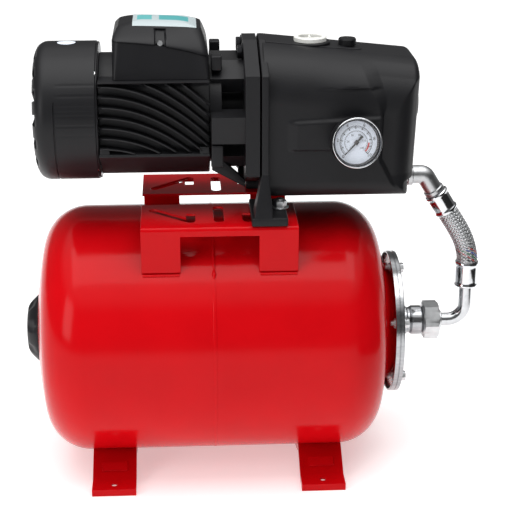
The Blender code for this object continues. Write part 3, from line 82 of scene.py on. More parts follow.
def make_lamp(name, place, target, width, height, power):
    """A soft rectangular lamp at a place, turned to face a target."""
    lamp = bpy.data.lights.new(name, "AREA")
    lamp.shape = "RECTANGLE"
    lamp.size = width
    lamp.size_y = height
    lamp.energy = power
    holder = bpy.data.objects.new(name, lamp)
    holder.location = place
    aim = np.subtract(target, place)
    flat = math.hypot(aim[0], aim[1])
    holder.rotation_euler = (math.atan2(flat, -aim[2]), 0, math.atan2(aim[1], aim[0]) - math.pi / 2)
    bpy.context.collection.objects.link(holder)


# ---------------------------------------------------------------- materials
def colour(code):
    """An sRGB hex value as linear red, green, blue and full alpha."""
    shares = np.array([int(code[i:i + 2], 16) / 255 for i in (0, 2, 4)])
    linear = np.where(shares <= 0.04045, shares / 12.92, ((shares + 0.055) / 1.055) ** 2.4)
    return (*linear.tolist(), 1.0)


def add(tree, kind, settings, feeds=None):
    """Adds a node. settings gives values of sockets or properties, feeds what is linked to a socket."""
    node = tree.nodes.new("ShaderNode" + kind)
    for name, value in settings.items():
        if isinstance(name, int) or name in node.inputs:
            node.inputs[name].default_value = value
        else:
            setattr(node, name, value)
    for name, source in (feeds or {}).items():
        tree.links.new(source, node.inputs[name])
    return node


def new_material(name):
    """An empty node material. Returns it with its tree, its shader and the Object coordinates."""
    material = bpy.data.materials.new(name)
    material.use_nodes = True
    tree = material.node_tree
    return material, tree, tree.nodes["Principled BSDF"], add(tree, "TexCoord", {}).outputs["Object"]


def per_metre(size):
    """The scale of a pattern whose detail repeats every so many millimetres."""
    return 1000.0 / size


def surface(name, light, dark, metallic, roughness, spread, patch, grain, relief, coat=0.0, specular=0.5):
    """A finish with two colours mixed in patches, a roughness that varies by spread, and a fine relief.

    patch and grain are the sizes of the patches and of the relief in millimetres, relief its depth.
    """
    material, tree, shader, where = new_material(name)
    cloud = add(tree, "TexNoise", {"Scale": per_metre(patch), "Detail": 3.0}, {"Vector": where})
    fine = add(tree, "TexNoise", {"Scale": per_metre(grain), "Detail": 2.0}, {"Vector": where})
    mix = add(tree, "Mix", {"data_type": "RGBA", 6: colour(dark), 7: colour(light)},
              {0: cloud.outputs["Fac"]})
    rough = add(tree, "MapRange", {"To Min": roughness - spread, "To Max": roughness + spread},
                {"Value": cloud.outputs["Fac"]})
    bump = add(tree, "Bump", {"Strength": 1.0, "Distance": relief * MM}, {"Height": fine.outputs["Fac"]})
    tree.links.new(mix.outputs[2], shader.inputs["Base Color"])
    tree.links.new(rough.outputs["Result"], shader.inputs["Roughness"])
    tree.links.new(bump.outputs["Normal"], shader.inputs["Normal"])
    shader.inputs["Metallic"].default_value = metallic
    shader.inputs["Coat Weight"].default_value = coat
    shader.inputs["Coat Roughness"].default_value = 0.08
    if not metallic:
        shader.inputs["Specular IOR Level"].default_value = specular
    return material


def drawn_metal(name, light, dark, roughness, line, stretch, relief):
    """A metal whose fine lines run along one direction: line is their pitch in millimetres, and stretch
    how many times finer the pattern is along x, y and z."""
    material, tree, shader, where = new_material(name)
    turned = add(tree, "Mapping", {"Scale": stretch}, {"Vector": where})
    lines = add(tree, "TexNoise", {"Scale": per_metre(line), "Detail": 4.0, "Roughness": 0.65},
                {"Vector": turned.outputs["Vector"]})
    mix = add(tree, "Mix", {"data_type": "RGBA", 6: colour(dark), 7: colour(light)},
              {0: lines.outputs["Fac"]})
    rough = add(tree, "MapRange", {"To Min": roughness * 0.7, "To Max": roughness * 1.3},
                {"Value": lines.outputs["Fac"]})
    bump = add(tree, "Bump", {"Strength": 1.0, "Distance": relief * MM}, {"Height": lines.outputs["Fac"]})
    tree.links.new(mix.outputs[2], shader.inputs["Base Color"])
    tree.links.new(rough.outputs["Result"], shader.inputs["Roughness"])
    tree.links.new(bump.outputs["Normal"], shader.inputs["Normal"])
    shader.inputs["Metallic"].default_value = 1.0
    return material


def make_finishes():
    """One finish for each material slot of the record, and a few more for small pieces."""
    found = {}
    # Stoved enamel on pressed steel: deep red, glossy, with a faint orange-peel ripple some 4 mm across.
    found["red_enamel"] = surface("stoved red enamel on steel", "CC0811", "BA060E", 0.0, 0.17, 0.03, 60, 5,
                                  0.03, specular=0.12)
    # Moulded polypropylene with a spark-eroded satin skin: near black, soft broad highlights.
    found["black_plastic"] = surface("satin moulded black polypropylene", "1C1C1E", "161618", 0.0, 0.40, 0.05,
                                     35, 0.6, 0.02, specular=0.19)
    # Satin alkyd paint over die-cast aluminium: the casting's fine grain just shows.
    found["black_paint"] = surface("black satin paint on die-cast aluminium", "1C1C1E", "151517", 0.0, 0.42,
                                   0.06, 22, 1.1, 0.05, specular=0.20)
    # Black paint over sand-cast iron: coarser grain and slightly duller than the die castings.
    found["cast_iron"] = surface("black paint on sand-cast iron", "1D1D1F", "161618", 0.0, 0.45, 0.06, 30,
                                 1.6,
                                 0.08, specular=0.19)
    # Spun and passivated steel plate: bright, with streaks round the plate.
    found["steel"] = drawn_metal("bright passivated steel", "C9CACC", "76787C", 0.20, 3.0,
                                 (0.15, 1.0, 1.0), 0.01)
    # Electro-galvanised steel: greyer, slightly mottled.
    found["zinc"] = surface("electro-galvanised steel", "E4E5E6", "C4C6C8", 1.0, 0.38, 0.07, 6, 0.8, 0.02)
    # Polished nickel-chrome plate: a near mirror with faint handling haze.
    found["chrome"] = surface("polished nickel-chrome plate", "E4E5E7", "C9CBCE", 1.0, 0.12, 0.04, 9, 2, 0.01)
    # Gravity-cast aluminium, tumbled: satin with a fine pebble grain.
    found["aluminium"] = surface("tumbled cast aluminium", "C8C9CA", "A9ABAD", 1.0, 0.36, 0.06, 7, 0.9, 0.05)
    # Stainless wire, bright drawn: each strand of the braid is a bundle of such wires.
    found["braid"] = drawn_metal("bright drawn stainless wire", "DADBDC", "8B8D90", 0.26, 0.7,
                                 (1.0, 1.0, 1.0),
                                 0.04)
    # Turned brass with a light tarnish.
    found["brass"] = surface("turned brass", "C9A24E", "A5803A", 1.0, 0.28, 0.06, 8, 0.7, 0.02)
    # Enamelled copper winding, varnished: brown with bundles of wire under it.
    found["copper"] = drawn_metal("varnished copper winding", "9A5226", "5E2E14", 0.35, 1.2,
                                  (1.0, 1.0, 1.0), 0.2)
    # Vulcanised rubber: matt and very dark.
    found["rubber"] = surface("vulcanised black rubber", "1B1B1B", "151515", 0.0, 0.75, 0.05, 12, 0.8, 0.05)
    # Lapped alumina ceramic of the shaft seal.
    found["ceramic"] = surface("lapped alumina ceramic", "E6E2D8", "DAD5C8", 0.0, 0.25, 0.04, 8, 1.5, 0.005)
    # Glass-filled polymer of the hydraulic parts.
    found["grey_plastic"] = surface("glass-filled grey polymer", "83868A", "707377", 0.0, 0.5, 0.06, 12,
                                    0.9, 0.04)
    # Moulded polyethylene plugs: milky white.
    found["white_plastic"] = surface("moulded white polyethylene", "F2F2EE", "E6E6E0", 0.0, 0.42, 0.05,
                                     10, 0.9,
                                     0.02)
    found["glass"] = make_glass()
    found["dial"] = surface("printed white dial enamel", "E4EBF7", "DCE4F1", 0.0, 0.45, 0.03, 12, 1.0, 0.004)
    found["ink"] = surface("black dial ink", "17181C", "101014", 0.0, 0.5, 0.03, 8, 1.0, 0.004)
    found["red_ink"] = surface("red dial ink", "C4302B", "B42622", 0.0, 0.5, 0.03, 8, 1.0, 0.004)
    found["screw"] = surface("nickel plated screw", "D5D6D8", "A9ABAD", 1.0, 0.25, 0.05, 3, 0.5, 0.01)
    found["label"] = make_label()
    return found


def make_glass():
    """Flat window glass: clear, with a faint smear in its roughness that only shows in the highlights."""
    material, tree, shader, where = new_material("flat clear glass")
    smear = add(tree, "TexNoise", {"Scale": per_metre(18), "Detail": 2.0}, {"Vector": where})
    rough = add(tree, "MapRange", {"To Min": 0.02, "To Max": 0.07}, {"Value": smear.outputs["Fac"]})
    tree.links.new(rough.outputs["Result"], shader.inputs["Roughness"])
    shader.inputs["Base Color"].default_value = (1, 1, 1, 1)
    shader.inputs["Alpha"].default_value = 0.05
    shader.inputs["IOR"].default_value = 1.5
    return material


def make_label():
    """A printed film label: pale grey, with two teal blocks side by side and fine grey rules."""
    material, tree, shader, where = new_material("printed film label")
    parts = add(tree, "SeparateXYZ", {}, {"Vector": where})
    rules = add(tree, "TexWave", {"bands_direction": "Y", "Scale": 160.0}, {"Vector": where})
    lines = add(tree, "MapRange", {"From Min": 0.80, "From Max": 0.95, "To Max": 0.4},
                {"Value": rules.outputs["Fac"]})
    shade = add(tree, "Mix", {"data_type": "RGBA", 6: colour("B9C4C6"), 7: colour("7C8A8C")},
                {0: lines.outputs["Result"]}).outputs[2]
    for middle, half, code in ((-43.0, 15.0, "4FA3A5"), (-73.0, 7.5, "5FAFB0")):
        wide = add(tree, "Math", {"operation": "COMPARE", 1: middle * MM + MIDDLE_X, 2: half * MM},
                   {0: parts.outputs["X"]})
        high = add(tree, "Math", {"operation": "COMPARE", 1: 0.0, 2: 0.012}, {0: parts.outputs["Y"]})
        block = add(tree, "Math", {"operation": "MULTIPLY"},
                    {0: wide.outputs["Value"], 1: high.outputs["Value"]})
        shade = add(tree, "Mix", {"data_type": "RGBA", 7: colour(code)},
                    {0: block.outputs["Value"], 6: shade}).outputs[2]
    tree.links.new(shade, shader.inputs["Base Color"])
    shader.inputs["Roughness"].default_value = 0.35
    return material


# ---------------------------------------------------------------- shapes
def skin(grid, rows_meet=False, capped=True):
    """Quads over a grid of points (rows, columns, xyz) whose columns run round. The rows either meet at
    their ends or are closed there with a flat face."""
    rows, columns = grid.shape[:2]
    index = np.arange(rows * columns).reshape(rows, columns)
    if rows_meet:
        index = np.vstack([index, index[:1]])
    near = index[:-1]
    far = index[1:]
    quads = np.stack([near, np.roll(near, -1, 1), np.roll(far, -1, 1), far], -1).reshape(-1, 4).tolist()
    if capped and not rows_meet:
        quads += [index[0][::-1].tolist(), index[-1].tolist()]
    return grid.reshape(-1, 3), quads


def gather(*shapes):
    """Several shapes as one."""
    points = []
    faces = []
    start = 0
    for some_points, some_faces in shapes:
        points.append(some_points)
        faces += [[start + i for i in face] for face in some_faces]
        start += len(some_points)
    return np.vstack(points), faces


def square_to(axis):
    """Two unit vectors square to an axis and to each other."""
    axis = np.asarray(axis, float) / np.linalg.norm(axis)
    guide = (0.0, 0.0, 1.0) if abs(axis[2]) < 0.9 else (0.0, 1.0, 0.0)
    side = np.cross(guide, axis)
    side /= np.linalg.norm(side)
    return axis, side, np.cross(axis, side)


def lathe(profile, origin, axis=(1, 0, 0), steps=96, flats=None):
    """A closed outline of (radius, height) points turned about an axis: point = origin + height * axis +
    radius * (side * cos(a) + up * sin(a)). With flats, the radius is held inside that hexagon."""
    axis, side, up = square_to(axis)
    outline = np.asarray(profile, float)
    turn = np.linspace(0, 2 * math.pi, steps, endpoint=False)
    radius = np.repeat(outline[:, :1], steps, 1)
    if flats:
        corner = np.mod(turn, math.pi / 3) - math.pi / 6
        radius = np.minimum(radius, flats / 2 / np.cos(corner))
    height = outline[:, 1][:, None, None]
    ring = radius[..., None] * (np.cos(turn)[:, None] * side + np.sin(turn)[:, None] * up)
    return skin(np.asarray(origin, float) + height * axis + ring, rows_meet=True)


def arc(radius, start, end, steps, centre=(0.0, 0.0)):
    """(a, b) points on an arc, with the angles in degrees."""
    turn = np.radians(np.linspace(start, end, steps + 1))
    return np.stack([centre[0] + radius * np.cos(turn), centre[1] + radius * np.sin(turn)], 1)


def chain(*parts):
    """Joins points and lists of points into one line."""
    return np.vstack([np.atleast_2d(np.asarray(part, float)) for part in parts])


def rounded(corners, radii, steps=5):
    """A polygon with each corner replaced by an arc: the arc's ends lie radius / tan(half angle) from the
    corner and its centre on the bisector. A quadratic blend through the corner gives the points."""
    corners = np.asarray(corners, float)
    radii = np.broadcast_to(radii, len(corners))
    before = np.roll(corners, 1, 0) - corners
    after = np.roll(corners, -1, 0) - corners
    long_before = np.linalg.norm(before, axis=1)
    long_after = np.linalg.norm(after, axis=1)
    unit_before = before / long_before[:, None]
    unit_after = after / long_after[:, None]
    half = np.arccos(np.clip((unit_before * unit_after).sum(1), -1, 1)) / 2
    reach = np.minimum(radii / np.tan(half), 0.49 * np.minimum(long_before, long_after))
    start = corners + unit_before * reach[:, None]
    end = corners + unit_after * reach[:, None]
    t = np.linspace(0, 1, steps + 1)[None, :, None]
    points = (1 - t) ** 2 * start[:, None] + 2 * t * (1 - t) * corners[:, None] + t ** 2 * end[:, None]
    return points.reshape(-1, 2)


def drawn_in(outline, distance):
    """An outline moved inwards: each point goes along the mean of its two edges' normals."""
    step = np.roll(outline, -1, 0) - np.roll(outline, 1, 0)
    step /= np.linalg.norm(step, axis=1)[:, None] + 1e-12
    area = np.sum(outline[:, 0] * np.roll(outline[:, 1], -1) - np.roll(outline[:, 0], -1) * outline[:, 1])
    inward = np.stack([-step[:, 1], step[:, 0]], 1) * np.sign(area)
    return outline + inward * distance


def lay(flat, height, along):
    """(a, b) points at a height along x, y or z."""
    height = np.broadcast_to(height, flat.shape[:-1])
    order = {"x": (height, flat[..., 0], flat[..., 1]), "y": (flat[..., 0], height, flat[..., 1]),
             "z": (flat[..., 0], flat[..., 1], height)}[along]
    return np.stack(order, -1)


def slab(outline, low, high, along, edge=1.0, steps=3, high_outline=None):
    """A plate between two heights whose edges are quarter circles: at angle a from the face the outline is
    drawn in by edge * (1 - sin a) and lies edge * (1 - cos a) from the face. With a second outline the
    plate tapers from the first to it."""
    other = outline if high_outline is None else high_outline
    turn = np.linspace(0, math.pi / 2, steps + 1)
    inset = edge * (1 - np.sin(turn))
    depth = edge * (1 - np.cos(turn))
    rows = [lay(drawn_in(outline, i), low + d, along) for i, d in zip(inset, depth)]
    rows += [lay(drawn_in(other, i), high - d, along) for i, d in zip(inset[::-1], depth[::-1])]
    return skin(np.stack(rows))


def tube(path, radius, normal=(0, 1, 0), sides=24, capped=True):
    """A round rod along a path. Each ring lies square to the path: point = path + radius * (side * cos(a) +
    normal * sin(a)), where side is square to the path and to the normal."""
    path = np.asarray(path, float)
    run = np.gradient(path, axis=0)
    run /= np.linalg.norm(run, axis=1)[:, None]
    side = np.cross(run, normal)
    side /= np.linalg.norm(side, axis=1)[:, None]
    up = np.cross(side, run)
    turn = np.linspace(0, 2 * math.pi, sides, endpoint=False)
    reach = np.broadcast_to(radius, len(path))[:, None, None]
    ring = side[:, None] * np.cos(turn)[None, :, None] + up[:, None] * np.sin(turn)[None, :, None]
    return skin(path[:, None] + reach * ring, capped=capped)


def hexagon_bolt(origin, axis, flats, height, washer=0.0, shank=0.0, shank_radius=3.0):
    """A hexagon with both ends chamfered, a washer face under it and a threaded end past it."""
    corner = flats / math.sqrt(3)
    profile = [(0, 0), (corner * 0.93, 0), (corner, height * 0.12), (corner, height * 0.85),
               (corner * 0.9, height), (0, height)]
    parts = [lathe(profile, origin, axis, 48, flats)]
    if washer:
        low = -washer
        parts.append(lathe([(0, low), (corner * 1.18, low), (corner * 1.22, low * 0.7),
                            (corner * 1.22, low * 0.2),
                            (corner * 1.18, 0), (0, 0)], origin, axis, 32))
    if shank:
        turns = np.arange(height, height + shank, 0.35)
        thread = shank_radius - 0.22 + 0.22 * np.cos(np.arange(len(turns)) * math.pi)
        outline = chain((0, height), np.stack([thread, turns], 1), (shank_radius * 0.75, height + shank),
                        (0, height + shank))
        parts.append(lathe(outline, origin, axis, 20))
    return gather(*parts)


# ---------------------------------------------------------------- pieces
def build(name, shape, finish, replaces=(), body="base", crease=32.0):
    """Makes a piece from (points in millimetres, faces): its place is in its mesh."""
    points, faces = shape
    points = points * MM + np.array([MIDDLE_X, 0.0, 0.0])
    mesh = bpy.data.meshes.new(name)
    mesh.from_pydata(points.tolist(), [], faces)
    return settle(name, mesh, finish, replaces, body, crease)


def settle(name, mesh, finish, replaces, body, crease):
    """Merges doubles, turns the faces outwards, smooths all but sharp edges, and sets its body."""
    shape = bmesh.new()
    shape.from_mesh(mesh)
    bmesh.ops.remove_doubles(shape, verts=shape.verts, dist=1e-6)
    bmesh.ops.recalc_face_normals(shape, faces=shape.faces)
    shape.to_mesh(mesh)
    shape.free()
    mesh.shade_smooth()
    mesh.set_sharp_from_angle(angle=math.radians(crease))
    mesh.materials.clear()
    mesh.materials.append(FINISH[finish])
    item = bpy.data.objects.new(name, mesh)
    bpy.context.collection.objects.link(item)
    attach(item, body)
    if replaces:
        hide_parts(*replaces)
    return item


def eased(node, finish, width, body="base", segments=2, name=None):
    """A copy of a CAD node with its edges rounded over by a width in millimetres."""
    source = frame["nodes"][node].data
    shape = bmesh.new()
    shape.from_mesh(source)
    bmesh.ops.remove_doubles(shape, verts=shape.verts, dist=1e-6)
    bmesh.ops.dissolve_limit(shape, angle_limit=math.radians(1.0), verts=shape.verts, edges=shape.edges)
    mesh = bpy.data.meshes.new(name or node + "_finished")
    shape.to_mesh(mesh)
    shape.free()
    item = settle(name or node + "_finished", mesh, finish, (node,), body, 32.0)
    change = item.modifiers.new("eased edges", "BEVEL")
    change.width = width * MM
    change.segments = segments
    change.limit_method = "ANGLE"
    change.angle_limit = math.radians(34)
    change.harden_normals = True
    return item


# ---------------------------------------------------------------- tank
SEAM = -6.25          # middle of the tank along x
TANK_HALF = 191.25
CROWN = 477.0         # radius of the flat part of the dished ends
KNUCKLE = 48.0        # radius of their shoulder
SHELL_WALL = 1.5
LIP = 199.65          # from the seam to the outside of the neck's lip


def head_line(wall, nearest):
    """(radius, distance from the seam) along a dished end: an arc of the knuckle's radius, then one of the
    crown's radius about a centre on the axis, both made smaller by the wall."""
    ring = TANK_RADIUS - KNUCKLE
    back = math.sqrt((CROWN - KNUCKLE) ** 2 - ring ** 2)
    straight = TANK_HALF - (CROWN - back)
    lean = math.degrees(math.asin(ring / (CROWN - KNUCKLE)))
    last = math.degrees(math.asin(nearest / (CROWN - wall)))
    shoulder = arc(KNUCKLE - wall, 0, 90 - lean, 18, (ring, straight))
    dish = arc(CROWN - wall, 90 - lean, 90 - last, 16, (0, straight - back))
    return chain(shoulder, dish[1:])


def make_tank():
    """Two shells and a weld bead turned about the axis of the tank, and the cap over the air valve."""
    origin = (SEAM, 0, TANK_AXIS)
    outer = head_line(0.0, 6.0)
    inner = head_line(SHELL_WALL, 6.0)
    left = chain((TANK_RADIUS, 0.15), outer, inner[::-1], (TANK_RADIUS - SHELL_WALL, 0.15))
    build("tank_left_half", lathe(left, origin, (-1, 0, 0), 192), "red_enamel", ("tank_shell_left",))
    outer = head_line(0.0, 68.5)
    inner = head_line(SHELL_WALL, 68.5)
    neck = [(64, LIP - 8.5), (60, LIP - 6.5), (58, LIP - 3.5), (58.6, LIP - 2.3), (60, LIP - 2),
            (73.5, LIP - 2), (73.5, LIP), (56, LIP)]
    right = chain((TANK_RADIUS, 0.15), outer, neck, inner[::-1], (TANK_RADIUS - SHELL_WALL, 0.15))
    build("tank_right_half", lathe(right, origin, (1, 0, 0), 192), "red_enamel", ("tank_shell_right",))
    bead = arc(1.0, -90, 90, 8) * (0.55, 1.9) + (TANK_RADIUS - 0.1, 0)
    build("tank_girth_weld", lathe(chain(bead, (TANK_RADIUS - 1, 1.9), (TANK_RADIUS - 1, -1.9)), origin,
                                   steps=192), "red_enamel")
    cap = chain((0, 12.0), (21, 12.0), (24, 11.6), (27, 10.2), (30.5, 7.4), (34, 3.8), (37, 0.6),
                (37.6, -1.0), (36, -1.2),
                (32.5, 2.5), (28, 6.5), (22, 10.0), (0, 10.0))
    grip, faces = lathe(cap, (0, 0, 0), (-1, 0, 0), 192)
    turn = np.arctan2(grip[:, 2], grip[:, 1])
    radius = np.hypot(grip[:, 1], grip[:, 2])
    dent = 1 - 0.13 * np.clip(np.cos(7 * turn), 0, 1) * np.clip(1 - np.abs(radius - 29.0) / 7.0, 0, 1)
    grip[:, 1:] *= dent[:, None]
    build("valve_cap", (grip + (SEAM - TANK_HALF, 0, TANK_AXIS), faces), "black_plastic", ("valve_cover",),
          "valve_cover")


def rail_weld(x, side, length=38.0):
    """A low lumpy bead along the foot of a rail's leg: a tube whose radius swells every 5 mm."""
    run = np.linspace(-length / 2, length / 2, 60)
    y = np.full_like(run, side * 96.0)
    z = TANK_AXIS + np.sqrt(TANK_RADIUS ** 2 - y ** 2)
    thick = 1.25 + 0.3 * np.abs(np.sin(run * math.pi / 5))
    return tube(np.stack([x + run, y, z + 0.2], 1), thick, (0, 0, 1), 12)


def seam_run():
    """The visible end of the shell's closing weld: a lumpy bead round the girth that ends in a drop."""
    turn = np.radians(np.linspace(8, 47, 90))
    lump = 1.0 + 0.35 * np.sin(turn * 61) * np.sin(turn * 23) + 1.3 * np.exp(-((turn - turn[-6]) * 40) ** 2)
    path = np.stack([np.full_like(turn, SEAM), -(TANK_RADIUS + 0.2) * np.sin(turn),
                     TANK_AXIS + (TANK_RADIUS + 0.2) * np.cos(turn)], 1)
    return tube(path, lump, (1, 0, 0), 12)


def foot_pad(x, side):
    """A low boss pressed into the slope of a foot."""
    slope = math.radians(31.5)
    points, faces = slab(rounded([(-14, -6), (14, -6), (14, 6), (-14, 6)], 2.0), -0.6, 1.0, "z", 0.5)
    y = points[:, 1] * math.cos(slope) + side * points[:, 2] * math.sin(slope)
    z = -side * points[:, 1] * math.sin(slope) + points[:, 2] * math.cos(slope)
    return np.stack([x + points[:, 0], side * 79.0 + y, 16.6 + z], 1), faces


def make_stand():
    """The feet and rails with their edges rounded over, their welds, pads and bolts."""
    for node in ("foot_left", "foot_right"):
        eased(node, "red_enamel", 1.3, segments=4)
    for node in ("pump_rail_near", "pump_rail_far"):
        eased(node, "red_enamel", 0.5, segments=3)
    beads = [rail_weld(x, side) for x in (-60.7, 60.7) for side in (-1, 1)]
    build("rail_welds", gather(*beads), "red_enamel")
    build("seam_weld", seam_run(), "red_enamel")
    pads = [foot_pad(x, side) for x in (-116.3, 109.3) for side in (-1, 1)]
    build("foot_bosses", gather(*pads), "red_enamel")
    for name, side in (("near", -1), ("far", 1)):
        place = (63.5, side * 62.0, 306.8)
        nut = hexagon_bolt(place, (0, 0, 1), 13.0, 6.5, 1.2, 2.3, 4.0)
        head = hexagon_bolt((63.5, side * 62.0, 293.5), (0, 0, -1), 13.0, 5.0)
        build(f"foot_bolt_{name}_finished", gather(nut, head), "zinc", (f"foot_bolt_{name}",))


FLANGE_FACE = 198.0


def make_tank_flange():
    """A pressed plate turned from its profile, with six bolts and nuts on one circle."""
    outline = chain((76.4, -10), (78.1, -10), (78.5, -9.5), (78.5, -5.7), (77.8, -5.3), (77.8, -4.7),
                    (78.5, -4.3), (78.5, -1.0), arc(1.0, 0, 90, 3, (77.5, -1.0)), (60, 0), (58.8, -0.5),
                    (44, -0.5), (42.8, 0), (19, 0), (17.0, 0.7), (16.0, 2.4), (15.8, 4.0), (15.8, 11.5),
                    (14.6, 13.2), (14.5, 15.2), (15.9, 17), (16.3, 18), (16.3, 28), (14.4, 30), (10.5, 30),
                    (10.5, -2), (76.4, -2))
    build("counter_flange", lathe(outline, (FLANGE_FACE, 0, TANK_AXIS), steps=160), "steel", ("tank_flange",))
    for i in range(6):
        turn = math.radians(10 + 60 * i)
        y = -68.5 * math.sin(turn)
        z = TANK_AXIS + 68.5 * math.cos(turn)
        head = hexagon_bolt((FLANGE_FACE + 0.9, y, z), (1, 0, 0), 9.5, 4.4, 0.6)
        nut = hexagon_bolt((FLANGE_FACE - 6.9, y, z), (-1, 0, 0), 9.5, 4.0, 0.0, 4.0, 3.0)
        build(f"flange_bolt_{i + 1}_finished", gather(head, nut), "zinc", (f"flange_bolt_{i + 1}",))


# ---------------------------------------------------------------- hose
HOSE_FOOT = 276.0
HOSE_END = np.array([250.9, 0.0, 278.0])
HOSE_LEAN = 57.4
TURN = math.radians(HOSE_LEAN)
HOSE_RUN = np.array([-math.cos(TURN), 0.0, math.sin(TURN)])
HOSE_PULL = 68.0
HOSE_RADIUS = 11.4


def hose_line(count):
    """The hose's middle line: straight up in the lower sleeve, a cubic Hermite curve with both end slopes
    68 mm long, then straight in the upper sleeve. The points are spread evenly along it."""
    t = np.linspace(0, 1, 200)[:, None]
    foot = np.array([HOSE_FOOT, 0.0, 219.0])
    up = np.array([0.0, 0.0, HOSE_PULL])
    curve = ((2 * t ** 3 - 3 * t ** 2 + 1) * foot + (t ** 3 - 2 * t ** 2 + t) * up
             + (3 * t ** 2 - 2 * t ** 3) * HOSE_END + (t ** 3 - t ** 2) * HOSE_PULL * HOSE_RUN)
    line = chain(foot - (0, 0, 12), foot - (0, 0, 6), curve, HOSE_END + 6 * HOSE_RUN,
                 HOSE_END + 12 * HOSE_RUN)
    along = np.concatenate([[0], np.cumsum(np.linalg.norm(np.diff(line, axis=0), axis=1))])
    even = np.linspace(0, along[-1], count)
    return np.stack([np.interp(even, along, line[:, i]) for i in range(3)], 1), along[-1]


def strand(way, start, width=1.0, out=0.0, low=0.0, high_end=1.0e3):
    """One flat bundle of the braid. Its middle runs at angle start + way * s * tan(50 degrees) / radius
    round the hose, and its height rises and falls by way * cos(strands * turn) as it passes over one and
    under one of the other way. Its section is a low arch. low and high_end are lengths along the hose."""
    line, length = hose_line(240)
    run = np.gradient(line, axis=0)
    run /= np.linalg.norm(run, axis=1)[:, None]
    side = np.cross(run, (0, 1, 0))
    s = np.linspace(0, length, len(line))
    shown = (s >= low) & (s <= high_end)
    line = line[shown]
    side = side[shown]
    s = s[shown]
    lean = math.radians(50)
    across = width * np.array([-1.3, -0.75, 0.0, 0.75, 1.3, 0.7, -0.7])
    high = out + np.array([0.0, 0.42, 0.55, 0.42, 0.0, -0.15, -0.15])
    turn = s * math.tan(lean) / HOSE_RADIUS
    radius = HOSE_RADIUS - 0.55 + 0.32 * way * np.cos(BRAID_STRANDS * turn)
    angle = start + way * turn[:, None] + across[None, :] / math.cos(lean) / HOSE_RADIUS
    reach = radius[:, None] + high[None, :]
    points = (line[:, None] + (reach * np.cos(angle))[..., None] * side[:, None]
              + (reach * np.sin(angle))[..., None] * np.array([0.0, 1.0, 0.0]))
    return skin(points)


BRAID_STRANDS = 15


def make_hose():
    """A rubber tube, the woven wire over it, short coloured threads and two crimped sleeves."""
    line = hose_line(60)[0]
    build("hose_tube", tube(line, HOSE_RADIUS - 0.75), "rubber", ())
    bundles = []
    for way in (1, -1):
        for i in range(BRAID_STRANDS):
            bundles.append(strand(way, 2 * math.pi * i / BRAID_STRANDS))
    for i, tracer in enumerate(("tracer_red", "tracer_blue", "tracer_green", "tracer_red", "tracer_black")):
        thread = strand(1, -4.95 + 0.42 * i, 0.45, 0.35, 14.0, 31.0)
        build(f"hose_{tracer}_{i + 1}", thread, tracer)
    build("hose_braid", gather(*bundles), "braid", ("hose",), crease=60)
    sleeve = [(7.6, 0), (11.2, 0), (12.6, 0.5), (13.2, 1.4), (13.3, 2.4), (13.0, 3.4), (12.3, 4.4),
              (12.5, 6.5)]
    for name, base, axis, span in (("lower", np.array([HOSE_FOOT, 0.0, 190.0]), (0, 0, 1), 29.0),
                                   ("upper", HOSE_END + 25.3 * HOSE_RUN, -HOSE_RUN, 25.3)):
        top = [(12.5, span - 6.5), (12.3, span - 4.4), (13.0, span - 3.4), (13.3, span - 2.4),
               (13.2, span - 1.2), (12.5, span), (11.8, span), (11.7, span * 0.42), (7.6, span * 0.42)]
        build(f"ferrule_{name}_finished", lathe(chain(sleeve, top), base, axis, 96), "chrome",
              (f"ferrule_{name}",), crease=50)


def bend(centre, radius, start, end, steps):
    """Points (x, 0, z) on an arc in the plane of the hose."""
    flat = arc(radius, start, end, steps, centre)
    return np.stack([flat[:, 0], np.zeros(len(flat)), flat[:, 1]], 1)


def make_fittings():
    """The bent pipe, the union nut and the cast elbow, each carried along or turned about its axis."""
    pipe = chain((240.5, 0, TANK_AXIS), (250, 0, TANK_AXIS), bend((257.0, TANK_AXIS + 19), 19, -90, 0, 24),
                 (HOSE_FOOT, 0, 185), (HOSE_FOOT, 0, 201.8))
    build("hose_pipe", tube(pipe, 7.25, sides=48), "pipe", ("hose_elbow",))
    nut = [(7.6, 0), (18.0, 0), (21.8, 1.6), (21.8, 16.4), (19.2, 17.8), (11.0, 18.0), (10.6, 20.6),
           (9.8, 21.4),
           (7.6, 21.4)]
    build("union_nut_finished", lathe(nut, (228.3, 0, TANK_AXIS), steps=96, flats=37.8), "zinc",
          ("union_nut",))
    turn = math.radians(HOSE_LEAN)
    leg = 8.0 * math.tan(turn / 2)
    foot = HOSE_END + 25.3 * HOSE_RUN
    middle = bend((224.4 - leg, 319.9 - 8), 8.0, 90, 90 - HOSE_LEAN, 24)
    route = chain((198.0, 0, 319.9), (211, 0, 319.9), middle, foot + 0.3 * HOSE_RUN)
    body = tube(route, 10.0, sides=48)
    collar = lathe([(5, 0), (11.0, 0), (11.8, 0.8), (11.8, 5.0), (11.0, 5.8), (5, 5.8)], (205.4, 0, 319.9),
                   steps=64)
    lower = lathe([(5, 0), (10.9, 0), (11.4, 0.6), (11.4, 4.2), (10.9, 4.8), (5, 4.8)], foot + 5.2 * HOSE_RUN,
                  -HOSE_RUN, 64)
    spigot = tube(chain(foot, foot - 5 * HOSE_RUN, foot - 10.3 * HOSE_RUN), 7.25)
    build("outlet_elbow_finished", gather(body, collar, lower, spigot), "aluminium", ("outlet_elbow",))


# ---------------------------------------------------------------- motor
MOTOR_LEFT = -121.0
MOTOR_RIGHT = -8.0
FIN_PITCH = 10.7
FIN_TOP = 42.5
FIN_FOOT = -30.5
FIN_CURVE = 0.00444        # drop of a fin per square millimetre along x


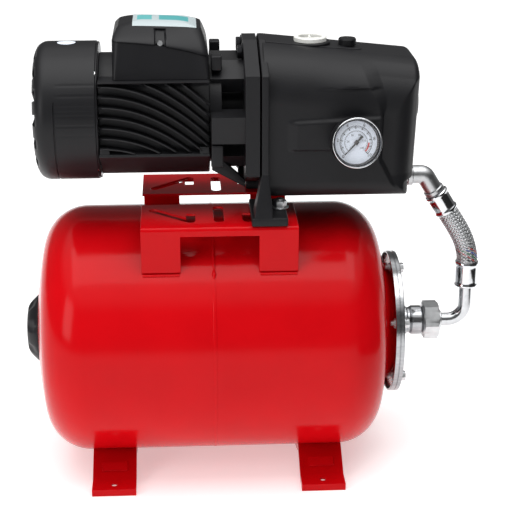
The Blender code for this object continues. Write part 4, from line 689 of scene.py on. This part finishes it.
def fin(level, side):
    """A cooling fin that sweeps down: height = level - 0.00444 * (x - left) ** 2, cut off at the top and
    foot of the finned field. It stands on the barrel and its crest is rounded."""
    x = np.linspace(MOTOR_LEFT + 0.5, MOTOR_RIGHT - 0.5, 90)
    drop = level - FIN_CURVE * (x - MOTOR_LEFT - 3) ** 2
    inside = (drop < FIN_TOP) & (drop > FIN_FOOT)
    x = x[inside]
    drop = drop[inside]
    slope = -2 * FIN_CURVE * (x - MOTOR_LEFT - 3)
    long = np.sqrt(1 + slope ** 2)
    across = np.array([-1.6, -0.85, -0.7, -0.3, 0.3, 0.7, 0.85, 1.6])
    deep = np.array([56.0, 68.6, 69.5, 69.9, 69.9, 69.5, 68.6, 56.0])
    end = np.clip(np.minimum(np.arange(len(x)), np.arange(len(x))[::-1]) / 3.0, 0, 1)
    reach = 61.0 + (deep[None, :] - 61.0) * (0.55 + 0.45 * end[:, None])
    points = np.stack([x[:, None] - slope[:, None] / long[:, None] * across[None, :],
                       side * reach,
                       SHAFT + drop[:, None] + across[None, :] / long[:, None]], -1)
    return skin(points)


def make_motor():
    """A rounded section and a barrel carried along the shaft, with ribs on both sides."""
    section = [(22, -63.5), (70, -32.5), (70, -30.0), (59.5, -27.0), (59.5, 40.0), (68.5, 43.5), (70, 44.7),
               (-70, 44.7), (-68.5, 43.5), (-59.5, 40.0), (-59.5, -27.0), (-70, -30.0), (-70, -32.5),
               (-22, -63.5)]
    outline = rounded(section, (6, 2, 1.5, 6, 6, 1.5, 1, 1, 1.5, 6, 6, 1.5, 2, 6), 4) + (0, SHAFT)
    core = slab(outline, MOTOR_LEFT, MOTOR_RIGHT, "x", 1.2)
    barrel = slab(arc(60.0, 20, 160, 60, (0, SHAFT)), MOTOR_LEFT, MOTOR_RIGHT, "x", 1.2)
    fins = [fin(40.0 + FIN_PITCH * k, side) for k in range(-6, 4) for side in (-1, 1)]
    lugs = [slab(rounded(corners, 1.5) * (side, 1) + (0, SHAFT), low, low + 10, "x", 1.0)
            for side in (-1, 1)
            for corners, low in ((((57, -32), (68.8, -32), (68.8, -23), (57, -23)), MOTOR_LEFT + 1),
                                 (((57, -32), (68.8, -32), (68.8, -23), (57, -23)), MOTOR_RIGHT - 11))]
    build("motor_body", gather(core, barrel, *fins, *lugs), "black_paint", ("motor_housing",))


COVER_LEFT = -188.0
COVER_RADIUS = 72.2


def make_fan_cover():
    """The cup's middle surface as radius(row), with narrow grooves where it runs along the shaft, and the
    faces of the air slots left out; a wall of 2 mm is then added on the inside."""
    steps = 384
    face = [(r, 0.0) for r in np.linspace(0.5, 56, 14)]
    profile = chain(face, (60, 0.5), (63.5, 1.7), (66.6, 3.4), (69.0, 5.6), (70.7, 8.2), (71.8, 11.0),
                    (72.2, 14.0),
                    (72.2, 21.0), (72.2, 22.2), (72.2, 22.6), (72.2, 23.4), (72.2, 23.8), (72.2, 30),
                    (72.2, 45),
                    (72.2, 64.2), (71.2, 65.0), (71.2, 66.7))
    turn = np.linspace(0, 2 * math.pi, steps, endpoint=False)
    radius = np.repeat(profile[:, :1], steps, 1)
    along = np.repeat(profile[:, 1:], steps, 1)
    degrees = np.degrees(turn)
    for centre in (-7, 1, 9, 12, 18, 25, 34):
        for mirrored in (centre, 180 - centre):
            off = np.abs((degrees - mirrored + 180) % 360 - 180)
            groove = np.clip(1 - off / 0.9, 0, 1)[None, :] * ((along > 26) & (along < 63))
            radius = radius - 0.55 * groove
    ring = (np.abs(along - 23.0) < 0.6) & (np.sin(turn)[None, :] < 0.34)
    radius = radius - 0.9 * ring
    grid = np.stack([COVER_LEFT + along, -radius * np.cos(turn), SHAFT + radius * np.sin(turn)], -1)
    points, quads = skin(grid, capped=False)
    row = np.repeat(np.arange(len(profile) - 1), steps)
    column = np.tile(np.arange(steps), len(profile) - 1)
    low = np.searchsorted(profile[:14, 0], 25.0)
    open_now = (row >= low) & (row < 16) & ((column % (steps // 16)) < 11)
    faces = [q for q, gap in zip(quads, open_now) if not gap]
    faces.append(list(range(steps))[::-1])
    cover = build("fan_cowl", (points, faces), "black_plastic", ("fan_cover",))
    wall = cover.modifiers.new("wall", "SOLIDIFY")
    wall.thickness = 1.8 * MM
    wall.offset = -1.0
    screws = []
    for turn in (45, 135, 225, 315):
        a = math.radians(turn)
        place = np.array([-126.0, -70.2 * math.cos(a), SHAFT + 70.2 * math.sin(a)])
        out = (0, -math.cos(a), math.sin(a))
        screws.append(lathe([(0, 1.0), (1.2, 1.0), (1.3, 1.9), (3.0, 1.9), (3.3, 1.2), (3.3, 0), (0, 0)],
                            place,
                            out, 24))
    build("cowl_screws", gather(*screws), "screw")
    turn = np.linspace(0, 2 * math.pi, 64, endpoint=False)
    rings = []
    for scale, lift in ((0.05, 0.1), (1.0, 0.1), (1.0, 0.35), (0.05, 0.35)):
        x = -154.0 + 9.5 * scale * np.cos(turn)
        y = -3.0 + 7.0 * scale * np.sin(turn)
        rings.append(np.stack([x, y, SHAFT + np.sqrt((COVER_RADIUS + lift) ** 2 - y ** 2)], 1))
    build("inspection_sticker", skin(np.stack(rings)), "dial")


# ---------------------------------------------------------------- terminal box
BOX_LEFT = -105.6
BOX_RIGHT = -8.5


def box_rows(low, high, half_low, half_high, corner_low, corner_high, slope_left, slope_right, rows, bulge):
    """Rounded rectangles stacked from one height to another. low and high are functions of x; the sides
    lean in by share ** bulge of the way, and each corner is an arc."""
    share = np.linspace(0, 1, rows)[:, None] ** 1.0
    lean = share ** bulge
    turn = np.radians(np.linspace(0, 90, 9))
    left = BOX_LEFT + slope_left * lean
    right = BOX_RIGHT - slope_right * lean
    half = half_low + (half_high - half_low) * lean
    edge = corner_low + (corner_high - corner_low) * lean
    run = np.linspace(0, 1, 60)[None, :]
    far = run[:, ::-1]
    x = np.concatenate([right - edge + edge * np.cos(turn), right - edge + (left - right + 2 * edge) * run,
                        left + edge - edge * np.sin(turn), left + 0 * run[:, :12],
                        left + edge - edge * np.cos(turn), left + edge + (right - left - 2 * edge) * run,
                        right - edge + edge * np.sin(turn), right + 0 * run[:, :12]], 1)
    fill = np.linspace(0, 1, 12)[None, :]
    y = np.concatenate([half - edge + edge * np.sin(turn), half + 0 * far,
                        half - edge + edge * np.cos(turn), half - edge - 2 * (half - edge) * fill,
                        edge - half - edge * np.sin(turn), -half + 0 * run,
                        edge - half - edge * np.cos(turn), edge - half + 2 * (half - edge) * fill], 1)
    z = low(x) + (high(x) - low(x)) * share
    return np.stack([x, y, z], -1)


def split_height(x):
    """The joint between box and lid: it drops towards the wet end along a gentle S."""
    share = np.clip((x - BOX_LEFT) / (BOX_RIGHT - BOX_LEFT), 0, 1)
    return 478.5 - 6.0 * share - 10.5 * share ** 2.6


def lid_height(x):
    """Height of the lid along the shaft: a slight fall, with both ends rounded by high powers."""
    share = np.clip((x - BOX_LEFT) / (BOX_RIGHT - BOX_LEFT), 0, 1)
    return 490.6 - 3.2 * share - 2.0 * share ** 8 - 1.5 * (1 - share) ** 9


def lid_crown(share):
    """How far the lid's top is domed, from its rim (share 1) to its middle (share 0)."""
    return 4.3 * (1 - share ** 3)


def draped(x, y, low, high, height):
    """A thin sheet over a surface height(x, y), from low to high above it."""
    rows = []
    for place in x:
        ring = np.concatenate([y, y[::-1]])
        lift = np.repeat([high, low], len(y))
        rows.append(np.stack([np.full(len(ring), place), ring, height(place, ring) + lift], 1))
    return skin(np.stack(rows))


def make_terminal_box():
    """The box is stacked rows of rounded outlines, and its label follows the lid."""
    foot = box_rows(lambda x: 0 * x + 441.7, split_height, 59.5, 50.5, 3, 8, 0.0, 0.0, 30, 1.0)
    gland_boss = lathe([(0, 0), (11.5, 0), (11.5, 20), (10.5, 21), (0, 21)], (-88, 38.5, 456), (0, 1, 0), 48)
    build("terminal_base", gather(skin(foot), gland_boss), "black_plastic", ("terminal_box",))
    lid = box_rows(lambda x: split_height(x) + 0.5, lid_height, 51.3, 30.0, 8, 11, 6.0, 7.0, 40, 1.45)
    notch = (np.clip(1 - np.abs(lid[..., 0] + 57.0) / 6.0, 0, 0.25) * 4.0) * (np.abs(lid[..., 1]) > 20)
    lid[..., 1] -= np.sign(lid[..., 1]) * 4.5 * notch * (lid[..., 2] < lid_height(lid[..., 0]) - 1.0)
    top = lid[-1:]
    middle = top.mean(1, keepdims=True)
    middle[..., 2] = lid_height(middle[..., 0])
    crown = []
    for share in (0.985, 0.96, 0.92, 0.85, 0.75, 0.6, 0.4, 0.2, 0.02):
        ring = middle + (top - middle) * share
        ring[..., 2] = lid_height(ring[..., 0]) + lid_crown(share)
        crown.append(ring)
    grid = np.concatenate([lid, *crown])
    build("terminal_cover", skin(grid), "black_plastic", ("terminal_lid",), crease=28)
    def top_of_lid(x, y):
        """Height of the lid under the label: its line along the shaft plus its crown."""
        share = np.maximum(np.abs(x + 57.5) / 41.0, np.abs(y) / 29.5)
        return lid_height(x) + lid_crown(np.minimum(share, 1))

    paper = draped(np.linspace(-85, -20, 40), np.linspace(-28.3, 19, 36), -0.1, 0.35, top_of_lid)
    build("rating_label", paper, "label")
    screws = [lathe([(0, 0), (3.2, 0), (3.2, 1.4), (2.6, 2.2), (0, 2.2)], (-57, side * 47.0, 475.5),
                    (0, side, 0.45), 24) for side in (-1, 1)]
    build("cover_screws", gather(*screws), "screw")
    gland = [(4.5, 0), (9.6, 0), (9.6, 7), (10.0, 7.4), (10.0, 12.4), (9.2, 13.2), (8.8, 15.5),
             (7.0, 19.2), (5.2, 20),
             (4.5, 20)]
    build("gland_finished", lathe(gland, (-88, 59.3, 456), (0, 1, 0), 72, 19.0), "black_plastic",
          ("cable_gland",))


# ---------------------------------------------------------------- wet end
CASING_LEFT = 47.45
CASING_RIGHT = 211.0
CASING_LOW = 316.5
CASING_HALF = 74.0


def casing_top(x):
    """Height of the casing: it falls in a straight line by 16.7 mm towards the suction end."""
    return 470.5 - 16.7 * (x - CASING_LEFT) / (CASING_RIGHT - CASING_LEFT)


def casing_section(x, less, count):
    """Points round the casing at x: a box with 52 mm upper and 20 mm lower edges, drawn in by less."""
    top = casing_top(x) - less
    low = CASING_LOW + less
    wide = CASING_HALF - less
    upper = 52.0 - 0.4 * less
    lower = 20.0
    line = chain(arc(upper, 0, 90, 40, (wide - upper, top - upper)),
                 arc(upper, 90, 180, 40, (upper - wide, top - upper)),
                 arc(lower, 180, 270, 20, (lower - wide, low + lower)),
                 arc(lower, 270, 360, 20, (wide - lower, low + lower)))
    line = chain(line, line[0])
    along = np.concatenate([[0], np.cumsum(np.linalg.norm(np.diff(line, axis=0), axis=1))])
    even = np.linspace(0, along[-1], count, endpoint=False)
    return np.stack([np.full(count, x), np.interp(even, along, line[:, 0]),
                     np.interp(even, along, line[:, 1])], 1)


def ramp(value, start, end):
    """Rises in a straight line from 0 at start to 1 at end, and stays level outside them."""
    return np.clip((value - start) / (end - start), 0, 1)


def casing_relief(x, z):
    """How far the casing's sides stand out, in mm: the outlet chamber above, the ejector's tube with its
    gauge boss in the middle, and the flat drawn in beside them at the suction end."""
    chamber = 2.6 * ramp(z, 431.0, 433.0) * ramp(x, 96, 132) * (1 - ramp(z, 436, 470))
    tube_height = ramp(z, 369.0, 371.5) * (1 - ramp(z, 398.5 + 0.05 * (x - 100), 402.5 + 0.05 * (x - 100)))
    ejector = 3.2 * ramp(x, 70, 80) * tube_height
    near = 144 + (458 - z) * 0.38
    far = near + 16
    low_near = 166 + np.maximum(0, 358 - z) * 0.6
    low_far = low_near + 4
    upper_half = ramp(z, 405, 431)
    start = near * upper_half + low_near * (1 - upper_half)
    end = far * upper_half + low_far * (1 - upper_half)
    step = ramp(x, start, end)
    return (chamber + ejector) * (1 - step) - 4.5 * step * ramp(z, 326, 340)


def make_casing():
    """A grid of sections carried along the shaft, with the relief added outwards."""
    count = 380
    end = CASING_RIGHT - 30
    stations = np.concatenate([np.linspace(CASING_LEFT, end - 1, 108),
                               end + 30 * np.sin(np.radians(np.linspace(0, 90, 40)))])
    less = 8 - np.sqrt(64 - np.clip(stations - CASING_RIGHT + 8, 0, 8) ** 2)
    grid = np.stack([casing_section(x, inset, count) for x, inset in zip(stations, less)])
    half = 44 + np.sqrt(np.maximum(900 - np.clip(stations - end, 0, 30) ** 2, 0))[:, None]
    grid[..., 1] = np.clip(grid[..., 1], -half, half)
    rim = grid[-1:]
    centre = np.array([CASING_RIGHT, 0.0, 395.0])
    shares = np.array([0.96, 0.88, 0.76, 0.6, 0.4, 0.15, 0.01])[:, None, None]
    grid = np.concatenate([grid, centre + (rim - centre) * shares])
    x = grid[..., 0]
    y = grid[..., 1]
    z = grid[..., 2]
    grid[..., 1] = y + np.sign(y) * casing_relief(x, z) * ramp(np.abs(y), 42, 60)
    grid[..., 0] = x - 6.0 * (1 - ramp(z, 331, 334)) * ramp(x, 196, 211)
    grid[..., 0] -= (2.0 + 5.5 * ramp(-z, -466, -333)) * ramp(x, 150, 211)
    body = skin(grid)
    port = lathe([(15.2, -9), (20.5, -9), (20.5, 0.3), (19.8, 0.8), (16.2, 0.8), (15.2, 0.2)],
                 (CASING_RIGHT, 0, 404), steps=96)
    build("casing_body", gather(body, port), "cast_iron", ("pump_casing",), crease=40)

    pad = slab(rounded([(50, -19.5), (118, -19.5), (152, -14), (152, 14), (118, 19.5), (50, 19.5)],
                       (2, 14, 8, 8, 14, 2)), 452, 466.2, "z", 0.7)
    points, faces = pad
    points[:, 2] += (casing_top(points[:, 0]) - casing_top(98.5)) * (points[:, 2] > 460)
    outlet = lathe([(14.9, -8), (21, -8), (21, 3.6), (20.2, 4.4), (15.6, 4.4), (14.9, 3.8)],
                   (98.5, 0, 463.2), (0, 0, 1), 96)
    build("casing_pad", gather((points, faces), outlet), "cast_iron")

    plate = [(80, -52), (80, 52), (16.5, 76), (-16.5, 76), (-80, 52), (-80, -52), (-16.5, -76), (16.5, -76)]
    outline = rounded(plate, 4.0) + (0, SHAFT)
    parts = [slab(outline, 43.8, 51.1, "x", 1.0)]
    for side in (-1, 1):
        foot = rounded([(32.8, 30), (69.8, 30), (69.8, 98), (32.8, 98)], 2.0) * (1, side)
        low = rounded([(34.8, 70), (54.5, 70), (54.5, 98), (34.8, 98)], 1.5) * (1, side)
        high = rounded([(43.8, 68), (51.1, 68), (51.1, 80), (43.8, 80)], 0.8) * (1, side)
        web = rounded([(43.8, 30), (51.1, 30), (51.1, 72), (43.8, 72)], 1.0) * (1, side)
        parts += [slab(foot, 296.6, 305.3, "z", 1.4), slab(low, 303.3, 346.0, "z", 0.6, 3, high),
                  slab(web, 303.3, 341.5, "z", 0.6)]
    build("casing_flange", gather(*parts), "cast_iron")


def make_bracket():
    """The bracket with its edges rounded over, its lugs and webs, and the four bolts."""
    eased("motor_bracket", "black_paint", 0.9, segments=3)
    blocks = []
    for side in (-1, 1):
        for low, high, left, right, inner, outer in ((50, 65, -6, 5, 30, 45), (-44, -21, -7, 5, 56, 72)):
            corners = rounded([(inner, low), (outer, low), (outer, high), (inner, high)], 2.0) * (side, 1)
            blocks.append(slab(corners + (0, SHAFT), left, right, "x", 1.2))
        web = np.array([(-6.0, -45.0), (6.0, -45.0), (28.5, -66.0), (28.5, -74.0), (14.0, -66.0),
                        (-6.0, -55.0)])
        blocks.append(slab(web + (0, SHAFT), side * 42 - 3, side * 42 + 3, "y", 0.9))
    build("bracket_lugs", gather(*blocks), "black_paint")
    for i, (side, up) in enumerate(((-1, 1), (1, 1), (-1, -1), (1, -1))):
        bolt = hexagon_bolt((26.4, side * 20.0, SHAFT + up * 64.5), (-1, 0, 0), 13.0, 4.6, 0.8)
        build(f"casing_bolt_{i + 1}_finished", bolt, "oxide", (f"casing_bolt_{i + 1}",))


# ---------------------------------------------------------------- plugs
def make_plugs():
    """Each plug is turned: a threaded shank under a head with a hexagon or a socket in it."""
    white = [(0, -10), (14.0, -10), (14.5, -9), (14.5, 0.3), (17.2, 0.3), (17.2, 4.0), (16.5, 4.8),
             (12.8, 4.8),
             (12.2, 4.0), (12.0, -5.0), (0, -5.0)]
    build("outlet_plug_finished", gather(
        lathe(white, (98.5, 0, 467.6), (0, 0, 1), 96),
        slab(rounded([(-12.4, -1.2), (12.4, -1.2), (12.4, 1.2), (-12.4, 1.2)], 0.4) + (98.5, 0), 462.0,
             470.6, "z", 0.4),
        slab(rounded([(-1.2, -12.4), (1.2, -12.4), (1.2, 12.4), (-1.2, 12.4)], 0.4) + (98.5, 0), 462.0,
             470.6, "z", 0.4)),
        "white_plastic", ("outlet_plug",), "outlet_plug")
    head = [(0, -10), (6.5, -10), (6.5, 0.3), (9.3, 0.3), (9.3, 6.0), (8.4, 7.4), (0, 7.4)]
    z = casing_top(137.5 - 9.3) + 0.3
    build("priming_plug_finished", lathe(head, (137.5, 0, z), (0, 0, 1), 72), "black_plastic",
          ("priming_plug",), "priming_plug")
    flat = [(0, -7), (14.5, -7), (14.5, -0.4), (14.2, 0.4), (10.8, 0.4), (10.2, -0.6), (10.0, -4.5),
            (0, -4.5)]
    build("suction_plug_finished", lathe(flat, (209.8, 0, 404), (1, 0, 0), 72), "white_plastic",
          ("suction_plug",), "suction_plug")
    drain = [(0, -9), (5.0, -9), (5.0, 0.3), (7.4, 0.3), (7.5, 0.9), (7.5, 3.2), (6.6, 4.0), (0, 4.0)]
    build("drain_plug_finished", lathe(drain, (185, 0, 316.5), (0, 0, -1), 72, 13.4), "black_plastic",
          ("drain_plug",), "drain_plug")


# ---------------------------------------------------------------- gauge
GAUGE_FACE = np.array([138.0, -104.0, 385.3])
GAUGE_AIM = np.array([0.12001, -0.97746, 0.17365])
DIAL_RADIUS = 22.6
DIAL_DEPTH = 7.0
SWEEP_START = 225.0        # degrees from the dial's right-hand side, at no pressure
SWEEP = 270.0


def on_dial(points, depth):
    """(a, b) points of the dial, b upwards, and their depth behind the bezel, in the set's frame."""
    axis, side, up = square_to(GAUGE_AIM)
    depth = np.broadcast_to(depth, points.shape[:-1])
    return GAUGE_FACE + points[..., :1] * side + points[..., 1:2] * up - depth[..., None] * axis


def dial_marks(count, inner, outer, width, skip=0):
    """Radial bars: each is a thin box from the inner to the outer radius."""
    turn = np.radians(SWEEP_START - SWEEP * np.arange(count) / (count - 1))
    if skip:
        turn = turn[np.arange(count) % skip != 0]
    shapes = []
    for a in turn:
        out = np.array([math.cos(a), math.sin(a)])
        over = np.array([-out[1], out[0]]) * width / 2
        ring = np.stack([out * inner - over, out * outer - over, out * outer + over, out * inner + over])
        shapes.append(skin(np.stack([on_dial(ring, DIAL_DEPTH - 0.02), on_dial(ring, DIAL_DEPTH - 0.10)])))
    return shapes


def dial_band(start, end, inner, outer):
    """A ring sector between two angles in degrees."""
    ring = chain(arc(outer, start, end, 24), arc(inner, end, start, 24))
    return skin(np.stack([on_dial(ring, DIAL_DEPTH - 0.02), on_dial(ring, DIAL_DEPTH - 0.08)]))


def dial_number(text, place, height):
    """A number cut from the default typeface, as a thin raised mesh on the dial."""
    curve = bpy.data.curves.new("dial_number", "FONT")
    curve.body = text
    curve.size = height
    curve.align_x = "CENTER"
    curve.align_y = "CENTER"
    curve.extrude = 0.04
    curve.resolution_u = 3
    holder = bpy.data.objects.new("dial_number", curve)
    mesh = bpy.data.meshes.new_from_object(holder)
    flat = np.zeros(len(mesh.vertices) * 3)
    mesh.vertices.foreach_get("co", flat)
    flat = flat.reshape(-1, 3)
    faces = [list(face.vertices) for face in mesh.polygons]
    bpy.data.objects.remove(holder)
    return on_dial(flat[:, :2] + place, DIAL_DEPTH - 0.07 - flat[:, 2]), faces


def make_gauge():
    """Case, bezel, throat, pane and dial turned about the axis of the gauge, and the printed scale."""
    case = chain((0, -43), (6.5, -43), (6.5, -22.5), (8.5, -21.5), (21.5, -21),
                 arc(3.0, -90, 0, 6, (21.5, -18)),
                 (24.5, -4), (23.0, -4), (23.0, -7.5), (0, -7.5))
    build("gauge_case_finished", lathe(case, GAUGE_FACE, GAUGE_AIM, 120), "black_plastic", ("gauge_case",))
    bezel = chain((24.0, -3.6), (25.0, -3.6), (25.5, -3.1), (25.5, -1.2),
                  arc(0.8, 0, 130, 6, (24.7, -0.9)), (24.0, -0.9))
    build("gauge_bezel_finished", lathe(bezel, GAUGE_FACE, GAUGE_AIM, 120), "chrome", ("gauge_bezel",))
    throat = [(21.6, -7.2), (24.2, -7.2), (24.2, -1.0), (23.9, -1.0), (22.7, -3.2), (21.7, -6.6)]
    build("gauge_throat", lathe(throat, GAUGE_FACE, GAUGE_AIM, 120), "ink")
    pane = [(0, -3.0), (22.6, -3.0), (22.6, -1.7), (0, -1.7)]
    build("gauge_pane", lathe(pane, GAUGE_FACE, GAUGE_AIM, 96), "glass", ("gauge_glass",))
    disc = [(0, -DIAL_DEPTH - 0.3), (DIAL_RADIUS, -DIAL_DEPTH - 0.3), (DIAL_RADIUS, -DIAL_DEPTH),
            (0, -DIAL_DEPTH)]
    build("gauge_dial", lathe(disc, GAUGE_FACE, GAUGE_AIM, 96), "dial")
    marks = dial_marks(51, 14.6, 16.4, 0.42, 5) + dial_marks(11, 13.6, 16.6, 0.9)
    marks.append(dial_band(SWEEP_START, SWEEP_START - SWEEP, 16.5, 16.9))
    marks.append(dial_band(SWEEP_START, SWEEP_START - SWEEP, 11.6, 11.9))
    marks += dial_marks(31, 10.7, 11.6, 0.35)
    numbers = []
    for i in range(0, 11, 2):
        a = math.radians(SWEEP_START - SWEEP * i / 10)
        out = np.array([math.cos(a), math.sin(a)])
        numbers.append(dial_number(str(i), out * 19.0, 4.8))
        numbers.append(dial_number(str(i * 14), out * 8.3, 2.9))
    build("dial_print", gather(*marks, *numbers), "ink", crease=20)
    build("dial_limit_band", dial_band(-3, -45, 12.3, 14.0), "red_ink", crease=20)


def make_needle():
    """A flat pointer in its rest place: a long taper, a hub disc and a broad short tail."""
    turn = math.radians(SWEEP_START)
    ahead = np.array([math.cos(turn), math.sin(turn)])
    beside = np.array([-ahead[1], ahead[0]])
    outline = [(-9.0, -1.35), (-2.2, -0.95), (-1.7, -2.1), (1.7, -2.1), (2.4, -0.75), (17.0, -0.3),
               (17.0, 0.3), (2.4, 0.75),
               (1.7, 2.1), (-1.7, 2.1), (-2.2, 0.95), (-9.0, 1.35)]
    flat = np.array([x * ahead + y * beside for x, y in outline])
    build("needle_finished", skin(np.stack([on_dial(flat, 5.5), on_dial(flat, 4.7)])), "ink",
          ("gauge_needle",),
          "needle")


def make_switch():
    """The pressure switch, with its edges rounded over."""
    eased("pressure_switch", "black_plastic", 0.6)


# ---------------------------------------------------------------- put together
make_camera()
FINISH = make_finishes()
for tint, light, dark in (("red", "C22A2A", "8E1C1C"), ("green", "1F7A4D", "155A38"),
                          ("black", "151517", "0E0E10"), ("blue", "2B4FA8", "1B3578")):
    FINISH[f"tracer_{tint}"] = surface(f"{tint} polyester tracer thread", light, dark, 0.0, 0.5, 0.05, 3,
                                       0.5, 0.03)
# Black-oxided steel of the four bolts between bracket and casing.
FINISH["oxide"] = surface("black oxided steel", "2A2A2C", "1C1C1E", 1.0, 0.42, 0.05, 5, 0.7, 0.02)
# Bright-drawn steel pipe, nickel plated: mirror-like with faint lines round the bend.
FINISH["pipe"] = surface("nickel plated drawn steel pipe", "D8D9DB", "B4B6B9", 1.0, 0.16, 0.05, 5, 0.8, 0.01)

for part in frame["record"]["subparts"]:
    shown = frame["nodes"][part["node"]].data
    shown.materials.clear()
    shown.materials.append(FINISH[part["material_slot"]])

make_tank()
make_stand()
make_tank_flange()
make_hose()
make_fittings()
make_motor()
make_fan_cover()
make_terminal_box()
make_bracket()
make_casing()
make_plugs()
make_gauge()
make_needle()
make_switch()

# ---------------------------------------------------------------- studio
floor_mesh = bpy.data.meshes.new("studio_floor")
floor_mesh.from_pydata([(-8, -6, 0), (8, -6, 0), (8, 14, 0), (-8, 14, 0)], [], [(0, 1, 2, 3)])
floor = bpy.data.objects.new("studio_floor", floor_mesh)
bpy.context.collection.objects.link(floor)
# White opal acrylic lit from below, as on a light table: matt and even, it fills the shadows.
opal = surface("backlit white opal acrylic", "F4F4F4", "F1F1F1", 0.0, 0.9, 0.03, 80, 2, 0.02)
opal.node_tree.nodes["Principled BSDF"].inputs["Emission Color"].default_value = (1, 1, 1, 1)
opal.node_tree.nodes["Principled BSDF"].inputs["Emission Strength"].default_value = 0.42
floor_mesh.materials.append(opal)

sky = bpy.data.worlds.new("studio")
bpy.context.scene.world = sky
sky.use_nodes = True
# The studio ceiling glows from 40 degrees up, and the walls below it are dim.
where = add(sky.node_tree, "TexCoord", {})
height = add(sky.node_tree, "SeparateXYZ", {}, {"Vector": where.outputs["Generated"]})
glow = add(sky.node_tree, "MapRange", {"From Min": 0.58, "From Max": 0.76, "To Min": 0.14, "To Max": 1.25},
           {"Value": height.outputs["Z"]})
back = sky.node_tree.nodes["Background"]
back.inputs["Color"].default_value = (1, 1, 1, 1)
sky.node_tree.links.new(glow.outputs["Result"], back.inputs["Strength"])
make_lamp("overhead_softbox", (0.0, -0.25, 1.9), (0.0, 0.0, 0.2), 2.2, 1.4, 25)
make_lamp("left_softbox", (-1.6, -1.4, 1.0), (0.0, 0.0, 0.25), 0.8, 1.2, 12)

card_mesh = bpy.data.meshes.new("black_card")
card_mesh.from_pydata([(0.60, -0.85, 0.02), (0.60, 0.05, 0.02), (0.60, 0.05, 0.62), (0.60, -0.85, 0.62)],
                      [], [(0, 1, 2, 3)])
card = bpy.data.objects.new("black_card", card_mesh)
bpy.context.collection.objects.link(card)
card_mesh.materials.append(surface("matt black card", "0C0C0C", "080808", 0.0, 0.9, 0.03, 80, 2, 0.02))
card.visible_camera = False
bpy.context.scene.view_settings.view_transform = "Standard"
